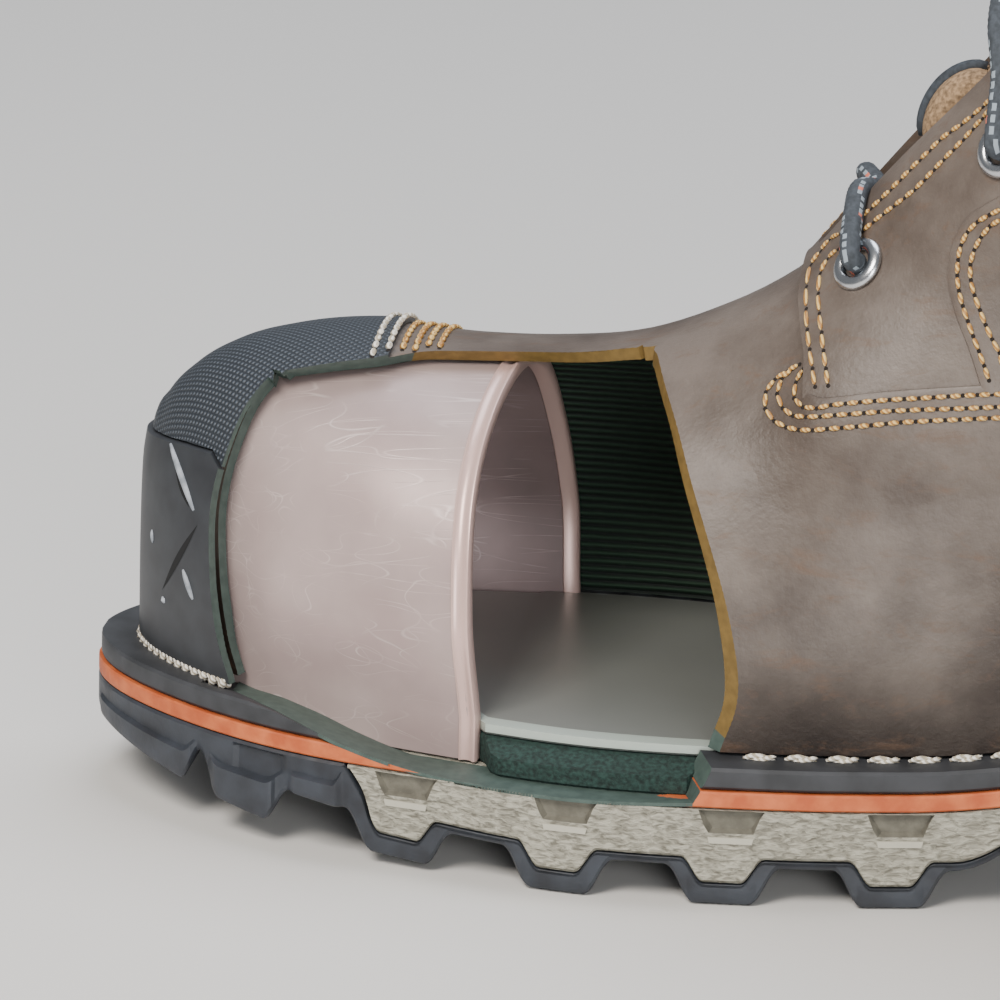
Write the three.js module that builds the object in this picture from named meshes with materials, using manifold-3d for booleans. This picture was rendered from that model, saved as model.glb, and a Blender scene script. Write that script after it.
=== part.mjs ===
// Steel toe boot, left foot, shown cut open over the toe so the steel cap can be seen.
// Millimetres. X runs from toe (-) to heel (+), Y to the inner side of the foot, Z up.
// Inside this file a place is written s, y, z: s is the distance behind the toe end of the sole.

import * as THREE from 'three'
import Module from 'manifold-3d'

const wasm = await Module()
wasm.setup()
const { Manifold, Mesh: SolidMesh } = wasm

// Driving sizes
const LENGTH = 318
const BALL_WIDTH = 116
const HALF_WIDTH = BALL_WIDTH / 2
const SHAFT_TOP = 212
const GAP = 0.3
const SEAT_GAP = 0.7

// Sole stack
const CORE_TOP = 19.4
const MIDSOLE_THICK = 3.5
const WELT_THICK = 4.9
const HEEL_RISE = 13
const RISE_FROM = 165
const RISE_TO = 258
const TOE_SPRING = 14
const STACK_SPRING = 1.5
const SPRING_FROM = 105
const TOE_ROUND = 66
const HEEL_ROUND = 40
const WELT_SET_IN = 0.5
const END_SLICE = 0.2
const LEAST_HALF = 0.4

// Tread: teeth of the core stand in the lugs of the outsole
const LUG_DEPTH = 7.4
const COVER_THICK = 2
const TOOTH_REACH = 4.9
const LUG_FLANK = 5
const WAIST_LIFT = 13
const WAIST_FROM = 174
const WAIST_TO = 200
const HEEL_BREAST = 228
const BREAST_RUN = 4
const HEEL_BEVEL = 3
const BEVEL_LONG = 18
const CORE_FRONT = 57.8
const CORE_NOSE_GAP = 0.7
const TREAD_LANE = 0.27
const CORE_LANE = 0.56
const LANE_WALL = 1.2
const CENTRE_TREAD = 0.75
const STATION_STEP = 0.7

// Upper
const TOE_STEP = 10
const HEEL_STEP = 7
const WELT_SHELF = 8.5
const HEEL_SHELF = 6.5
const SHELF_FROM = 180
const SHELF_TO = 260
const LEAN_FROM = 225
const LEAN_TO = 300
const WALL = 2.6
const TIP = TOE_STEP + 0.3
const SWELL = 0.08
const PIVOT = { s: LENGTH * 0.4717, z: SHAFT_TOP }
const COLLAR_SLOPE = 4.3 * Math.PI / 180
const FAN = Math.PI / 2 - COLLAR_SLOPE
const BACK_EDGE = 0.8
const COLLAR_RUN_OUT = 10
const RING_CLEAR = 0.1

// Cap, insole, foam
const CAP_CLEAR = 0.9
const CAP_WALL = 1.8
const CAP_RIM = 3.2
const CAP_RIM_LONG = 4
const CAP_END = 84
const PLATE_THICK = 2.6
const PLATE_EDGE = 12.2
const CAP_EDGE = 14.4
const PLATE_LIFT = 0.2
const FOOT_TUCK = 6
const OVERLAY_RUN = 14

// Laid-on leather, rubber and lace
const GUARD_THICK = 1.2
const GUARD_END = 56.5
const BUMPER_THICK = 2.2
const EYESTAY_THICK = 1.5
const EYESTAY_SET_BACK = 0.4
const TONGUE_CLEAR = 1.8
const TONGUE_THICK = 3.5
const TONGUE_HALF = 27
const TONGUE_RISE = 3.6
const EYELET_CLEAR = 0.8
const EYELET_R = 5.5
const EYELET_HOLE_R = 2.9
const EYELET_THICK = 1.2
const LACE_R = 2.3
const BEVEL = 43 * Math.PI / 180
const WINDOW_OUT = 12
const WINDOW_IN = 7
const SLOT_UP = 12
const SLOT_DOWN = 14

// Plan of the sole: share of the length, half width and sideways shift as shares of half the ball width
const PLAN = [
  { along: 0.00, half: 0.65, shift: 0.01 },
  { along: 0.10, half: 0.825, shift: 0.07 },
  { along: 0.20, half: 0.91, shift: 0.06 },
  { along: 0.33, half: 1.00, shift: 0.00 },
  { along: 0.45, half: 0.945, shift: -0.03 },
  { along: 0.57, half: 0.80, shift: -0.05 },
  { along: 0.68, half: 0.72, shift: -0.04 },
  { along: 0.82, half: 0.725, shift: 0.00 },
  { along: 1.00, half: 0.70, shift: 0.01 },
]

// Line over the toe, the instep and up the throat: shares of the length and of the shaft height
const RIDGE = [
  { along: 0.0314, up: 0.3019 },
  { along: 0.0352, up: 0.3349 },
  { along: 0.0440, up: 0.3608 },
  { along: 0.0597, up: 0.3858 },
  { along: 0.0849, up: 0.4080 },
  { along: 0.1173, up: 0.4217 },
  { along: 0.1739, up: 0.4311 },
  { along: 0.2302, up: 0.4283 },
  { along: 0.2805, up: 0.4325 },
  { along: 0.3362, up: 0.4472 },
  { along: 0.3774, up: 0.4731 },
  { along: 0.4088, up: 0.4991 },
  { along: 0.4327, up: 0.5259 },
  { along: 0.4591, up: 0.5769 },
  { along: 0.4887, up: 0.6349 },
  { along: 0.5399, up: 0.7288 },
  { along: 0.5818, up: 0.8160 },
  { along: 0.6164, up: 0.9104 },
  { along: 0.6384, up: 1.0000 },
  { along: 0.6478, up: 1.0566 },
]

// Line down the back of the heel
const BACK = [
  { up: 0.132, along: 0.9686 },
  { up: 0.192, along: 0.9796 },
  { up: 0.283, along: 0.9874 },
  { up: 0.377, along: 0.9874 },
  { up: 0.495, along: 0.9733 },
  { up: 0.637, along: 0.9623 },
  { up: 0.778, along: 0.9638 },
  { up: 0.967, along: 0.9733 },
  { up: 1.061, along: 0.9780 },
]

// Half width of the shaft, share of half the ball width
const SHAFT = [
  { up: 0.283, half: 0.638 },
  { up: 0.401, half: 0.647 },
  { up: 0.495, half: 0.664 },
  { up: 0.613, half: 0.655 },
  { up: 0.755, half: 0.681 },
  { up: 0.896, half: 0.716 },
  { up: 1.061, half: 0.741 },
]

// How full the cross-section is: exponent of its arch
const FULLNESS = [
  { along: 0.00, power: 2.9 },
  { along: 0.19, power: 2.8 },
  { along: 0.28, power: 2.5 },
  { along: 0.38, power: 2.1 },
  { along: 0.47, power: 1.9 },
  { along: 0.63, power: 2.0 },
  { along: 1.00, power: 2.0 },
]

// Window cut over the toe, on the outer side: shares of the length and the shaft height
const WINDOW = [
  { along: 0.1135, up: 0.4047 },
  { along: 0.1563, up: 0.4184 },
  { along: 0.1972, up: 0.4255 },
  { along: 0.2478, up: 0.4274 },
  { along: 0.3091, up: 0.4368 },
  { along: 0.3447, up: 0.4476 },
  { along: 0.3629, up: 0.4156 },
  { along: 0.3792, up: 0.3675 },
  { along: 0.3928, up: 0.3212 },
  { along: 0.4057, up: 0.2722 },
  { along: 0.4129, up: 0.2297 },
  { along: 0.4154, up: 0.2024 },
  { along: 0.4142, up: 0.1684 },
  { along: 0.4069, up: 0.1387 },
  { along: 0.4040, up: 0.0943 },
  { along: 0.3300, up: 0.0900 },
  { along: 0.2200, up: 0.0900 },
  { along: 0.1060, up: 0.0943 },
  { along: 0.1010, up: 0.1344 },
  { along: 0.0909, up: 0.1604 },
  { along: 0.0858, up: 0.2024 },
  { along: 0.0827, up: 0.2481 },
  { along: 0.0821, up: 0.2925 },
  { along: 0.0865, up: 0.3288 },
  { along: 0.0931, up: 0.3561 },
  { along: 0.1013, up: 0.3854 },
]

// The same cut in welt and midsole: floor of the cut at the outer edge and at the inner side, mm
const NOTCH = [
  { along: 0.106, outer: 28.6, inner: 29.4 },
  { along: 0.145, outer: 27.0, inner: 28.8 },
  { along: 0.181, outer: 22.9, inner: 26.4 },
  { along: 0.220, outer: 20.6, inner: 22.4 },
  { along: 0.262, outer: 19.1, inner: 19.1 },
  { along: 0.340, outer: 19.1, inner: 19.1 },
  { along: 0.395, outer: 19.1, inner: 19.1 },
]

// Lugs along the edge: where each starts and ends on the ground, share of the length
const LUGS = [
  { from: 0.000, to: 0.077 },
  { from: 0.090, to: 0.134 },
  { from: 0.191, to: 0.237 },
  { from: 0.290, to: 0.336 },
  { from: 0.389, to: 0.435 },
  { from: 0.488, to: 0.534 },
  { from: 0.717, to: 0.770 },
  { from: 0.826, to: 0.872 },
  { from: 0.925, to: 1.000 },
]

// Teeth of the core: centres over the lugs, share of the length
const TEETH = [0.214, 0.313, 0.412, 0.511, 0.744, 0.849, 0.955]
const TOOTH_HALF = 5
const RECESS = { half: 4.9, low: 14.2, high: 18.9, deep: 1.4, taper: 1.1 }

// Throat slot: half its width
const SLOT = [
  { along: 0.443, half: 2.4 },
  { along: 0.458, half: 4.5 },
  { along: 0.488, half: 7.0 },
  { along: 0.539, half: 10.4 },
  { along: 0.640, half: 13.5 },
]

// Rear and lower edge of the eyestay and its front edge, a closed line seen from the side
const EYESTAY = [
  { along: 0.4425, up: 0.4439 },
  { along: 0.4406, up: 0.4774 },
  { along: 0.4321, up: 0.5137 },
  { along: 0.4300, up: 0.5700 },
  { along: 0.5000, up: 0.7500 },
  { along: 0.6000, up: 1.1000 },
  { along: 0.7150, up: 1.1000 },
  { along: 0.7060, up: 0.9300 },
  { along: 0.6450, up: 0.7700 },
  { along: 0.5525, up: 0.6151 },
  { along: 0.5327, up: 0.5467 },
  { along: 0.5480, up: 0.4800 },
  { along: 0.5530, up: 0.4439 },
]

// Rubber bumper and toe guard seen from the side
const BUMPER = [
  { along: -0.02, up: 0.120 },
  { along: 0.135, up: 0.120 },
  { along: 0.118, up: 0.280 },
  { along: 0.081, up: 0.338 },
  { along: 0.061, up: 0.336 },
  { along: 0.035, up: 0.330 },
  { along: -0.02, up: 0.326 },
]

// Eyelets: section they lie on and distance from the middle line, share of half the ball width
const EYELETS = [
  { section: 1.00, out: 0.336 },
  { section: 1.24, out: 0.431 },
  { section: 1.50, out: 0.448 },
  { section: 1.83, out: 0.448 },
]

// Curves
function clamp(v, low, high) {
  return Math.min(Math.max(v, low), high)
}

function smooth(a, b, v) {
  const t = clamp((v - a) / (b - a), 0, 1)
  return t * t * (3 - 2 * t)
}

// Smooth line through the rows of a table, from one named column to another
function curve(table, from, to, scaleFrom = 1, scaleTo = 1) {
  const x = table.map(row => row[from] * scaleFrom)
  const y = table.map(row => row[to] * scaleTo)
  const h = x.slice(1).map((v, i) => v - x[i])
  const d = h.map((v, i) => (y[i + 1] - y[i]) / v)
  const last = d.length
  const m = y.map((_, i) => {
    if (i === 0) return d[0]
    if (i === last) return d[last - 1]
    return (d[i - 1] * h[i] + d[i] * h[i - 1]) / (h[i] + h[i - 1])
  })
  return q => {
    const c = clamp(q, x[0], x[last])
    let i = 0
    while (i < last - 1 && c > x[i + 1]) i += 1
    const t = (c - x[i]) / h[i]
    const a = (2 * t ** 3 - 3 * t ** 2 + 1) * y[i] + (t ** 3 - 2 * t ** 2 + t) * h[i] * m[i]
    return a + (3 * t ** 2 - 2 * t ** 3) * y[i + 1] + (t ** 3 - t ** 2) * h[i] * m[i + 1]
  }
}

const planHalfAt = curve(PLAN, 'along', 'half', LENGTH, HALF_WIDTH)
const middleAt = curve(PLAN, 'along', 'shift', LENGTH, HALF_WIDTH)
const ridgeAt = curve(RIDGE, 'along', 'up', LENGTH, SHAFT_TOP)
const frontAt = curve(RIDGE, 'up', 'along', SHAFT_TOP, LENGTH)
const backAt = curve(BACK, 'up', 'along', SHAFT_TOP, LENGTH)
const shaftAt = curve(SHAFT, 'up', 'half', SHAFT_TOP, HALF_WIDTH)
const powerAt = curve(FULLNESS, 'along', 'power', LENGTH)
const slotAt = curve(SLOT, 'along', 'half', LENGTH)
const notchOuterAt = curve(NOTCH, 'along', 'outer', LENGTH)
const notchInnerAt = curve(NOTCH, 'along', 'inner', LENGTH)

// Half width in plan, set in by `inset` all round; `toe` and `heel` shorten its ends
function planHalf(s, inset = 0, toe = 0, heel = 0) {
  const a = clamp(1 - (s - toe) / TOE_ROUND, 0, 1)
  const b = clamp(1 - (LENGTH - heel - s) / HEEL_ROUND, 0, 1)
  const round = Math.sqrt(Math.max(1 - a ** 2.1, 0)) * Math.sqrt(Math.max(1 - b ** 2.3, 0))
  return Math.max(planHalfAt(s) - inset, 0) * round
}

function coreTop(s) {
  const spring = STACK_SPRING * clamp(1 - s / SPRING_FROM, 0, 1) ** 2
  return CORE_TOP + spring + HEEL_RISE * smooth(RISE_FROM, RISE_TO, s)
}
const midsoleTop = s => coreTop(s) + MIDSOLE_THICK
const feather = s => midsoleTop(s) + WELT_THICK

function ground(s) {
  const toe = TOE_SPRING * clamp(1 - s / SPRING_FROM, 0, 1) ** 2
  return toe + HEEL_BEVEL * clamp((s - LENGTH + BEVEL_LONG) / BEVEL_LONG, 0, 1) ** 2
}

function waist(s) {
  const back = 1 - clamp((s - HEEL_BREAST + BREAST_RUN) / BREAST_RUN, 0, 1)
  return WAIST_LIFT * smooth(WAIST_FROM, WAIST_TO, s) * back
}

// Form of the upper
const shelf = s => WELT_SHELF - (WELT_SHELF - HEEL_SHELF) * smooth(SHELF_FROM, SHELF_TO, s)

function ridgeHigh(s) {
  const top = RIDGE[18].along * LENGTH
  return s <= top ? ridgeAt(s) : SHAFT_TOP + (s - top) * 4
}

function upperHalf(s, z) {
  const foot0 = feather(s)
  const rise = z - foot0
  const lean = (backAt(z) - (LENGTH - HEEL_STEP)) * smooth(LEAN_FROM, LEAN_TO, s)
  const flat = clamp(s - lean, TOE_STEP, LENGTH - HEEL_STEP)
  const t = clamp(rise / Math.max(ridgeHigh(s) - foot0, 1), 0, 1)
  const swell = 1 + SWELL * smooth(-2, 20, rise)
  const arch = Math.sqrt(Math.max(1 - t ** powerAt(s), 0))
  const foot = planHalf(flat, shelf(flat), TOE_STEP, HEEL_STEP) * swell * arch
  const front = frontAt(z)
  const back = backAt(z)
  const q = clamp((s - (front + back) / 2) / ((back - front) / 2), -1, 1)
  const shaft = shaftAt(z) * Math.sqrt(Math.max(1 - Math.abs(q) ** 2.3, 0))
  const blend = smooth(88, 132, z) * smooth(120, 160, s)
  return foot * (1 - blend) + shaft * blend
}

// Sections: 0 to 1 upright over the forefoot, 1 to 2 turning about the pivot up to the collar
function cross(test, low, high) {
  let a = low
  let b = high
  for (let i = 0; i < 40; i += 1) {
    const m = (a + b) / 2
    if (test(m)) a = m
    else b = m
  }
  return (a + b) / 2
}

function sectionEnds(section) {
  if (section <= 1) {
    const s = TIP + (PIVOT.s - TIP) * (0.55 * section ** 2.2 + 0.45 * section)
    return { bottom: [s, feather(s)], top: [s, ridgeAt(s)] }
  }
  const angle = (section - 1) * FAN
  const at = r => [PIVOT.s + r * Math.sin(angle), PIVOT.z - r * Math.cos(angle)]
  const near = cross(r => at(r)[1] > ridgeHigh(at(r)[0]), 0, 90)
  const inside = r => at(r)[1] > feather(at(r)[0]) && at(r)[0] < backAt(at(r)[1])
  const far = cross(inside, 90, 260)
  return { bottom: at(far), top: at(near) }
}

// Point of the outer surface: `side` runs from -1 (foot of the outer side) over 0 (ridge) to 1
function surface(section, side) {
  const { bottom, top } = sectionEnds(section)
  const v = 1 - Math.abs(side)
  const foot = Math.sin(v * Math.PI / 2)
  const both = (1 - Math.cos(v * Math.PI)) / 2
  const k = smooth(0.3, 0.9, section - 1)
  const t = foot * (1 - k) + both * k
  const s = bottom[0] + (top[0] - bottom[0]) * t
  const z = bottom[1] + (top[1] - bottom[1]) * t
  const w = v >= 1 ? 0 : Math.max(upperHalf(s, z), BACK_EDGE * (1 - v))
  return new THREE.Vector3(s, middleAt(s) + Math.sign(side) * w, z)
}

function surfaceNormal(section, side) {
  const da = section < 0.01 ? 0 : 0.01
  const low = Math.max(side - 0.02, -1)
  const high = Math.min(side + 0.02, 1)
  const along = surface(section + 0.01, side).sub(surface(section - da, side))
  const across = surface(section, high).sub(surface(section, low))
  return along.cross(across).normalize()
}

function raised(section, side, height) {
  return surface(section, side).addScaledVector(surfaceNormal(section, side), height)
}

// Side value at a distance from the middle line, near the ridge
function sideAt(section, out) {
  return cross(v => Math.abs(surface(section, -v).y - surface(section, 0).y) < out, 0, 0.9)
}

// Solids
function solid(points, faces) {
  const xyz = new Float32Array(points.length * 3)
  points.forEach((p, i) => xyz.set([p.x, p.y, p.z], i * 3))
  let volume = 0
  for (const [a, b, c] of faces) {
    volume += points[a].dot(new THREE.Vector3().crossVectors(points[b], points[c]))
  }
  const turned = volume < 0 ? faces.map(([a, b, c]) => [a, c, b]) : faces
  const mesh = new SolidMesh({ numProp: 3, vertProperties: xyz, triVerts: new Uint32Array(turned.flat()) })
  mesh.merge()
  return Manifold.ofMesh(mesh)
}

// Skin over closed rings of equal count, with a fan over each end
function loft(rings) {
  const n = rings[0].length
  const points = rings.flat()
  const faces = []
  for (let i = 0; i + 1 < rings.length; i += 1) {
    for (let j = 0; j < n; j += 1) {
      const a = i * n + j
      const b = i * n + (j + 1) % n
      faces.push([a, b, a + n], [b, b + n, a + n])
    }
  }
  const ends = [[0, 1], [(rings.length - 1) * n, -1]]
  for (const [start, way] of ends) {
    const centre = new THREE.Vector3()
    for (let j = 0; j < n; j += 1) centre.addScaledVector(points[start + j], 1 / n)
    points.push(centre)
    const c = points.length - 1
    for (let j = 0; j < n; j += 1) {
      const a = start + j
      const b = start + (j + 1) % n
      faces.push(way > 0 ? [b, a, c] : [a, b, c])
    }
  }
  return solid(points, faces)
}

const V = (s, y, z) => new THREE.Vector3(s, y, z)

// Straight bar through the boot from side to side, its outline drawn in s and z
function sideways(table, from = -120, to = 120) {
  const shape = new THREE.Shape(table.map(p => new THREE.Vector2(p.along * LENGTH, p.up * SHAFT_TOP)))
  const bar = new THREE.ExtrudeGeometry(shape, { depth: to - from, bevelEnabled: false })
  bar.rotateX(Math.PI / 2)
  bar.translate(0, to, 0)
  const at = bar.getAttribute('position')
  const points = []
  const faces = []
  for (let i = 0; i < at.count; i += 1) points.push(V(at.getX(i), at.getY(i), at.getZ(i)))
  for (let i = 0; i < at.count; i += 3) faces.push([i, i + 1, i + 2])
  return solid(points, faces)
}

function slices(from, to, count) {
  const list = []
  for (let i = 0; i <= count; i += 1) list.push(from + (to - from) * (1 - Math.cos(Math.PI * i / count)) / 2)
  return list
}

// Flat layer of the sole between two heights
function layer(low, high, inset, toe, heel, list) {
  return loft(list.map(s => {
    const w = Math.max(planHalf(s, typeof inset === 'function' ? inset(s) : inset, toe, heel), LEAST_HALF)
    const m = middleAt(s)
    return [V(s, m - w, low(s)), V(s, m + w, low(s)), V(s, m + w, high(s)), V(s, m - w, high(s))]
  }))
}

// Outsole and core
// Height of the tread over the ground along the edge: 0 on a lug, LUG_DEPTH in a groove
function edgeTread(s) {
  for (let i = 0; i < LUGS.length; i += 1) {
    const from = LUGS[i].from * LENGTH
    const to = LUGS[i].to * LENGTH
    if (s >= from && s <= to) return 0
    if (i + 1 < LUGS.length && s > to && s < LUGS[i + 1].from * LENGTH) {
      const next = LUGS[i + 1].from * LENGTH
      const run = Math.min(LUG_FLANK, (next - to) * 0.35)
      return LUG_DEPTH * Math.min((s - to) / run, (next - s) / run, 1)
    }
  }
  return 0
}

function toothDrop(s) {
  let drop = 0
  for (const tooth of TEETH) {
    const off = Math.abs(s - tooth * LENGTH)
    drop = Math.max(drop, TOOTH_REACH * clamp(1 - (off - TOOTH_HALF) / LUG_FLANK, 0, 1))
  }
  return drop
}

const treadBase = s => ground(s) + waist(s)
const coreBottom = (s, edge) => treadBase(s) + LUG_DEPTH + COVER_THICK - (edge ? toothDrop(s) : 0)

const treadStations = []
for (let i = 0; i < LUGS.length; i += 1) {
  const from = LUGS[i].from * LENGTH
  const to = LUGS[i].to * LENGTH
  treadStations.push(from, to)
  if (i + 1 < LUGS.length) {
    const next = LUGS[i + 1].from * LENGTH
    const run = Math.min(LUG_FLANK, (next - to) * 0.35)
    treadStations.push(to + run, next - run)
  }
}
const toothStations = TEETH.flatMap(t => [-1, 1].flatMap(k => {
  const edge = TOOTH_HALF + LUG_FLANK
  return [t * LENGTH + k * TOOTH_HALF, t * LENGTH + k * edge]
}))
const breast = [HEEL_BREAST - BREAST_RUN, HEEL_BREAST]
const endStations = [1.4, 4, 9, 16, 50, 186, 194, 213, 306, 312, 316]

function stations(lists, from, to) {
  const all = lists.flat().filter(s => s > from + LEAST_HALF && s < to - LEAST_HALF)
  all.push(from, to)
  all.sort((a, b) => a - b)
  return all.filter((s, i) => i === 0 || s - all[i - 1] > STATION_STEP || s === to)
}

function sectionOfOutsole(s) {
  const w = planHalf(s)
  const m = middleAt(s)
  const lane = w * TREAD_LANE
  const lane2 = w * CORE_LANE
  const wall = Math.min(LANE_WALL, w * 0.1)
  const inGap = Math.min(GAP * 4, w * 0.06)
  const edge = treadBase(s) + edgeTread(s)
  const centre = treadBase(s) + (LUG_DEPTH - edgeTread(s)) * CENTRE_TREAD
  const front = clamp((s - CORE_FRONT + CORE_NOSE_GAP) / LUG_FLANK, 0, 1)
  const full = coreTop(s) - GAP
  const overEdge = full + (coreBottom(s, true) - GAP - full) * front
  const overMiddle = full + (coreBottom(s, false) - GAP - full) * front
  return [
    V(s, m - w, edge), V(s, m - lane - wall, edge), V(s, m - lane, centre),
    V(s, m + lane, centre), V(s, m + lane + wall, edge), V(s, m + w, edge),
    V(s, m + w, overEdge), V(s, m + lane2 - inGap, overEdge), V(s, m + lane2 - wall - inGap, overMiddle),
    V(s, m - lane2 + wall + inGap, overMiddle), V(s, m - lane2 + inGap, overEdge), V(s, m - w, overEdge),
  ]
}

const coreStart = [CORE_FRONT - CORE_NOSE_GAP, CORE_FRONT, CORE_FRONT + LUG_FLANK - CORE_NOSE_GAP,
  CORE_FRONT + LUG_FLANK]
const soleStations = stations([treadStations, toothStations, breast, endStations, coreStart],
  END_SLICE, LENGTH - END_SLICE)
const outsole = loft(soleStations.map(sectionOfOutsole))

function sectionOfCore(s) {
  const w = planHalf(s)
  const m = middleAt(s)
  const lane = w * CORE_LANE
  const wall = Math.min(LANE_WALL, w * 0.1)
  const top = coreTop(s) - GAP
  const front = clamp((s - CORE_FRONT) / LUG_FLANK, 0.1, 1)
  const edge = top + (coreBottom(s, true) - top) * front
  const middle = top + (coreBottom(s, false) - top) * front
  return [
    V(s, m - w, edge), V(s, m - lane, edge), V(s, m - lane + wall, middle),
    V(s, m + lane - wall, middle), V(s, m + lane, edge), V(s, m + w, edge),
    V(s, m + w, top), V(s, m - w, top),
  ]
}

let core = loft(soleStations.filter(s => s >= CORE_FRONT).map(sectionOfCore))

// Recess in the core's side over a tooth
function recess(tooth, way) {
  const at = (s, out, z) => V(s, middleAt(s) + way * (planHalf(s) + out), z)
  const lift = HEEL_RISE * smooth(RISE_FROM, RISE_TO, tooth)
  const ring = (half, out, grow) => {
    const low = RECESS.low - grow + lift
    const high = RECESS.high + grow * 0.3 + lift
    return [at(tooth - half, out, low), at(tooth + half, out, low), at(tooth + half, out, high),
      at(tooth - half, out, high)]
  }
  const floor = ring(RECESS.half - RECESS.taper, -RECESS.deep, -0.5)
  return loft([floor, ring(RECESS.half + RECESS.taper, 1, 0.4)])
}
for (const tooth of TEETH.slice(0, 6)) {
  for (const way of [-1, 1]) core = core.subtract(recess(tooth * LENGTH + 1, way))
}

// Midsole, welt, foam, insole plate
const RING_SET_IN = WELT_SHELF + WALL + RING_CLEAR
const outline = slices(END_SLICE, LENGTH - END_SLICE, 24)
const weltOutline = slices(WELT_SET_IN + END_SLICE, LENGTH - WELT_SET_IN - END_SLICE, 26)
const innerList = slices(TOE_STEP + WALL + LEAST_HALF, LENGTH - HEEL_STEP - WALL - LEAST_HALF, 18)
const ringInset = s => shelf(s) + WALL + RING_CLEAR
const ringCut = layer(s => coreTop(s) - 4, s => feather(s) + 4, ringInset, TOE_STEP + WALL + RING_CLEAR,
  HEEL_STEP + WALL + RING_CLEAR, innerList)

function notchRing(s) {
  const y0 = middleAt(s) - planHalf(s) - 20
  const y1 = middleAt(s) - planHalf(s, RING_SET_IN + 0.6)
  const end = smooth(0.36, 0.395, s / LENGTH)
  return [
    V(s - end * 3, y0, 2 * notchOuterAt(s) - notchInnerAt(s)), V(s + end * 5, y1, notchInnerAt(s)),
    V(s + end * 5, y1, 60), V(s + end * 2, y0, 60),
  ]
}
const notch = loft(slices(NOTCH[0].along * LENGTH, NOTCH[6].along * LENGTH, 14).map(notchRing))

const midsole = layer(coreTop, s => midsoleTop(s) - GAP, 0, 0, 0, outline).subtract(ringCut).subtract(notch)
const welt = layer(midsoleTop, s => feather(s) - SEAT_GAP, WELT_SET_IN, WELT_SET_IN, WELT_SET_IN, weltOutline)
  .subtract(ringCut).subtract(notch)

const lastInset = s => CAP_EDGE - (CAP_EDGE - PLATE_EDGE) * smooth(CAP_END + 0.6, CAP_END + 2, s)
const lastList = slices(TOE_STEP + WALL + 3.4, LENGTH - HEEL_STEP - WALL - 1.6, 20)
lastList.push(CAP_END + 0.6, CAP_END + 2)
lastList.sort((a, b) => a - b)
const plateLow = s => feather(s) + PLATE_LIFT - PLATE_THICK
const last = (low, high) => layer(low, high, lastInset, TOE_STEP + WALL + 3, HEEL_STEP + WALL + 1.2, lastList)
const foam = last(coreTop, s => plateLow(s) - GAP)
const plate = last(plateLow, s => feather(s) + PLATE_LIFT)

// Upper and what is laid on it, all from one grid of sections
const SECTIONS = []
for (let i = 0; i <= 13; i += 1) SECTIONS.push((i / 13) ** 1.25)
const cornerS = cross(s => s < backAt(feather(s)), LENGTH * 0.8, LENGTH)
const CORNER = 1 + Math.atan2(cornerS - PIVOT.s, PIVOT.z - feather(cornerS)) / FAN
SECTIONS.push(1.1, 1.2, 1.3, 1.385, 1.44, CORNER - 0.03, CORNER - 0.01, CORNER, CORNER + 0.025, 1.58, 1.66)
SECTIONS.push(1.77, 1.88, 2)
const SIDES = []
for (let i = -7; i <= 7; i += 1) SIDES.push(i / 7)

// Filled form at a height over the outer surface; `past` runs on beyond the collar, `deep` below the foot
function form(height, { sections = SECTIONS, sides = SIDES, past = 0, deep = 0 } = {}) {
  const at = typeof height === 'function' ? height : () => height
  const rings = sections.map(a => {
    const ring = sides.map(c => raised(a, c, at(a)))
    if (deep === 0) return ring
    const down = V(0, 0, -deep)
    return [ring[0].clone().add(down), ...ring, ring[ring.length - 1].clone().add(down)]
  })
  if (past > 0) {
    const end = rings[rings.length - 1]
    rings.push(end.map(p => p.clone().add(V(Math.cos(FAN) * past, 0, Math.sin(FAN) * past))))
  }
  return loft(rings)
}

function windowCut() {
  const onSide = (s, z) => V(s, middleAt(s) - upperHalf(s, z), z)
  const rim = WINDOW.map(row => onSide(row.along * LENGTH, row.up * SHAFT_TOP))
  const normal = p => {
    const ds = onSide(p.x + 0.5, p.z).sub(onSide(p.x - 0.5, p.z))
    const dz = onSide(p.x, p.z + 0.2).sub(onSide(p.x, p.z - 0.2))
    return ds.cross(dz).normalize()
  }
  const centre = V(80, -20, 55)
  const outer = []
  const inner = []
  const count = rim.length
  rim.forEach((p, i) => {
    const n = normal(p)
    const along = rim[(i + 1) % count].clone().sub(rim[(i + count - 1) % count])
    const inward = n.clone().cross(along).normalize()
    if (inward.dot(centre.clone().sub(p)) < 0) inward.negate()
    const lean = n.clone().addScaledVector(inward, -Math.tan(BEVEL))
    const move = depth => p.clone().addScaledVector(lean, depth)
    outer.push(move(WINDOW_OUT))
    inner.push(move(-WINDOW_IN))
  })
  const points = [...outer, ...inner, V(84, -150, 100), V(80, -12, 52)]
  const faces = []
  for (let i = 0; i < count; i += 1) {
    const j = (i + 1) % count
    faces.push([i, j, count + i], [j, count + j, count + i])
    faces.push([j, i, 2 * count], [count + i, count + j, 2 * count + 1])
  }
  return solid(points, faces)
}
const windowTool = windowCut()

function slotTool(grow, up, down) {
  const rows = []
  const start = cross(a => sectionEnds(a).top[0] < SLOT[0].along * LENGTH, 0.5, 1.2)
  const list = [start, 0.97, 1.05, 1.15, 1.3, 1.5, 1.7, 1.85, 2, 2.12]
  for (const a of list) {
    const p = surface(a, 0)
    const n = surfaceNormal(a, 0)
    const h = slotAt(p.x) + grow
    const high = p.clone().addScaledVector(n, up)
    const low = p.clone().addScaledVector(n, -down)
    rows.push([V(high.x, high.y - h, high.z), V(high.x, high.y + h, high.z), V(low.x, low.y + h, low.z),
      V(low.x, low.y - h, low.z)])
  }
  return loft(rows)
}
const throat = slotTool(0, SLOT_UP, SLOT_DOWN)

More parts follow.
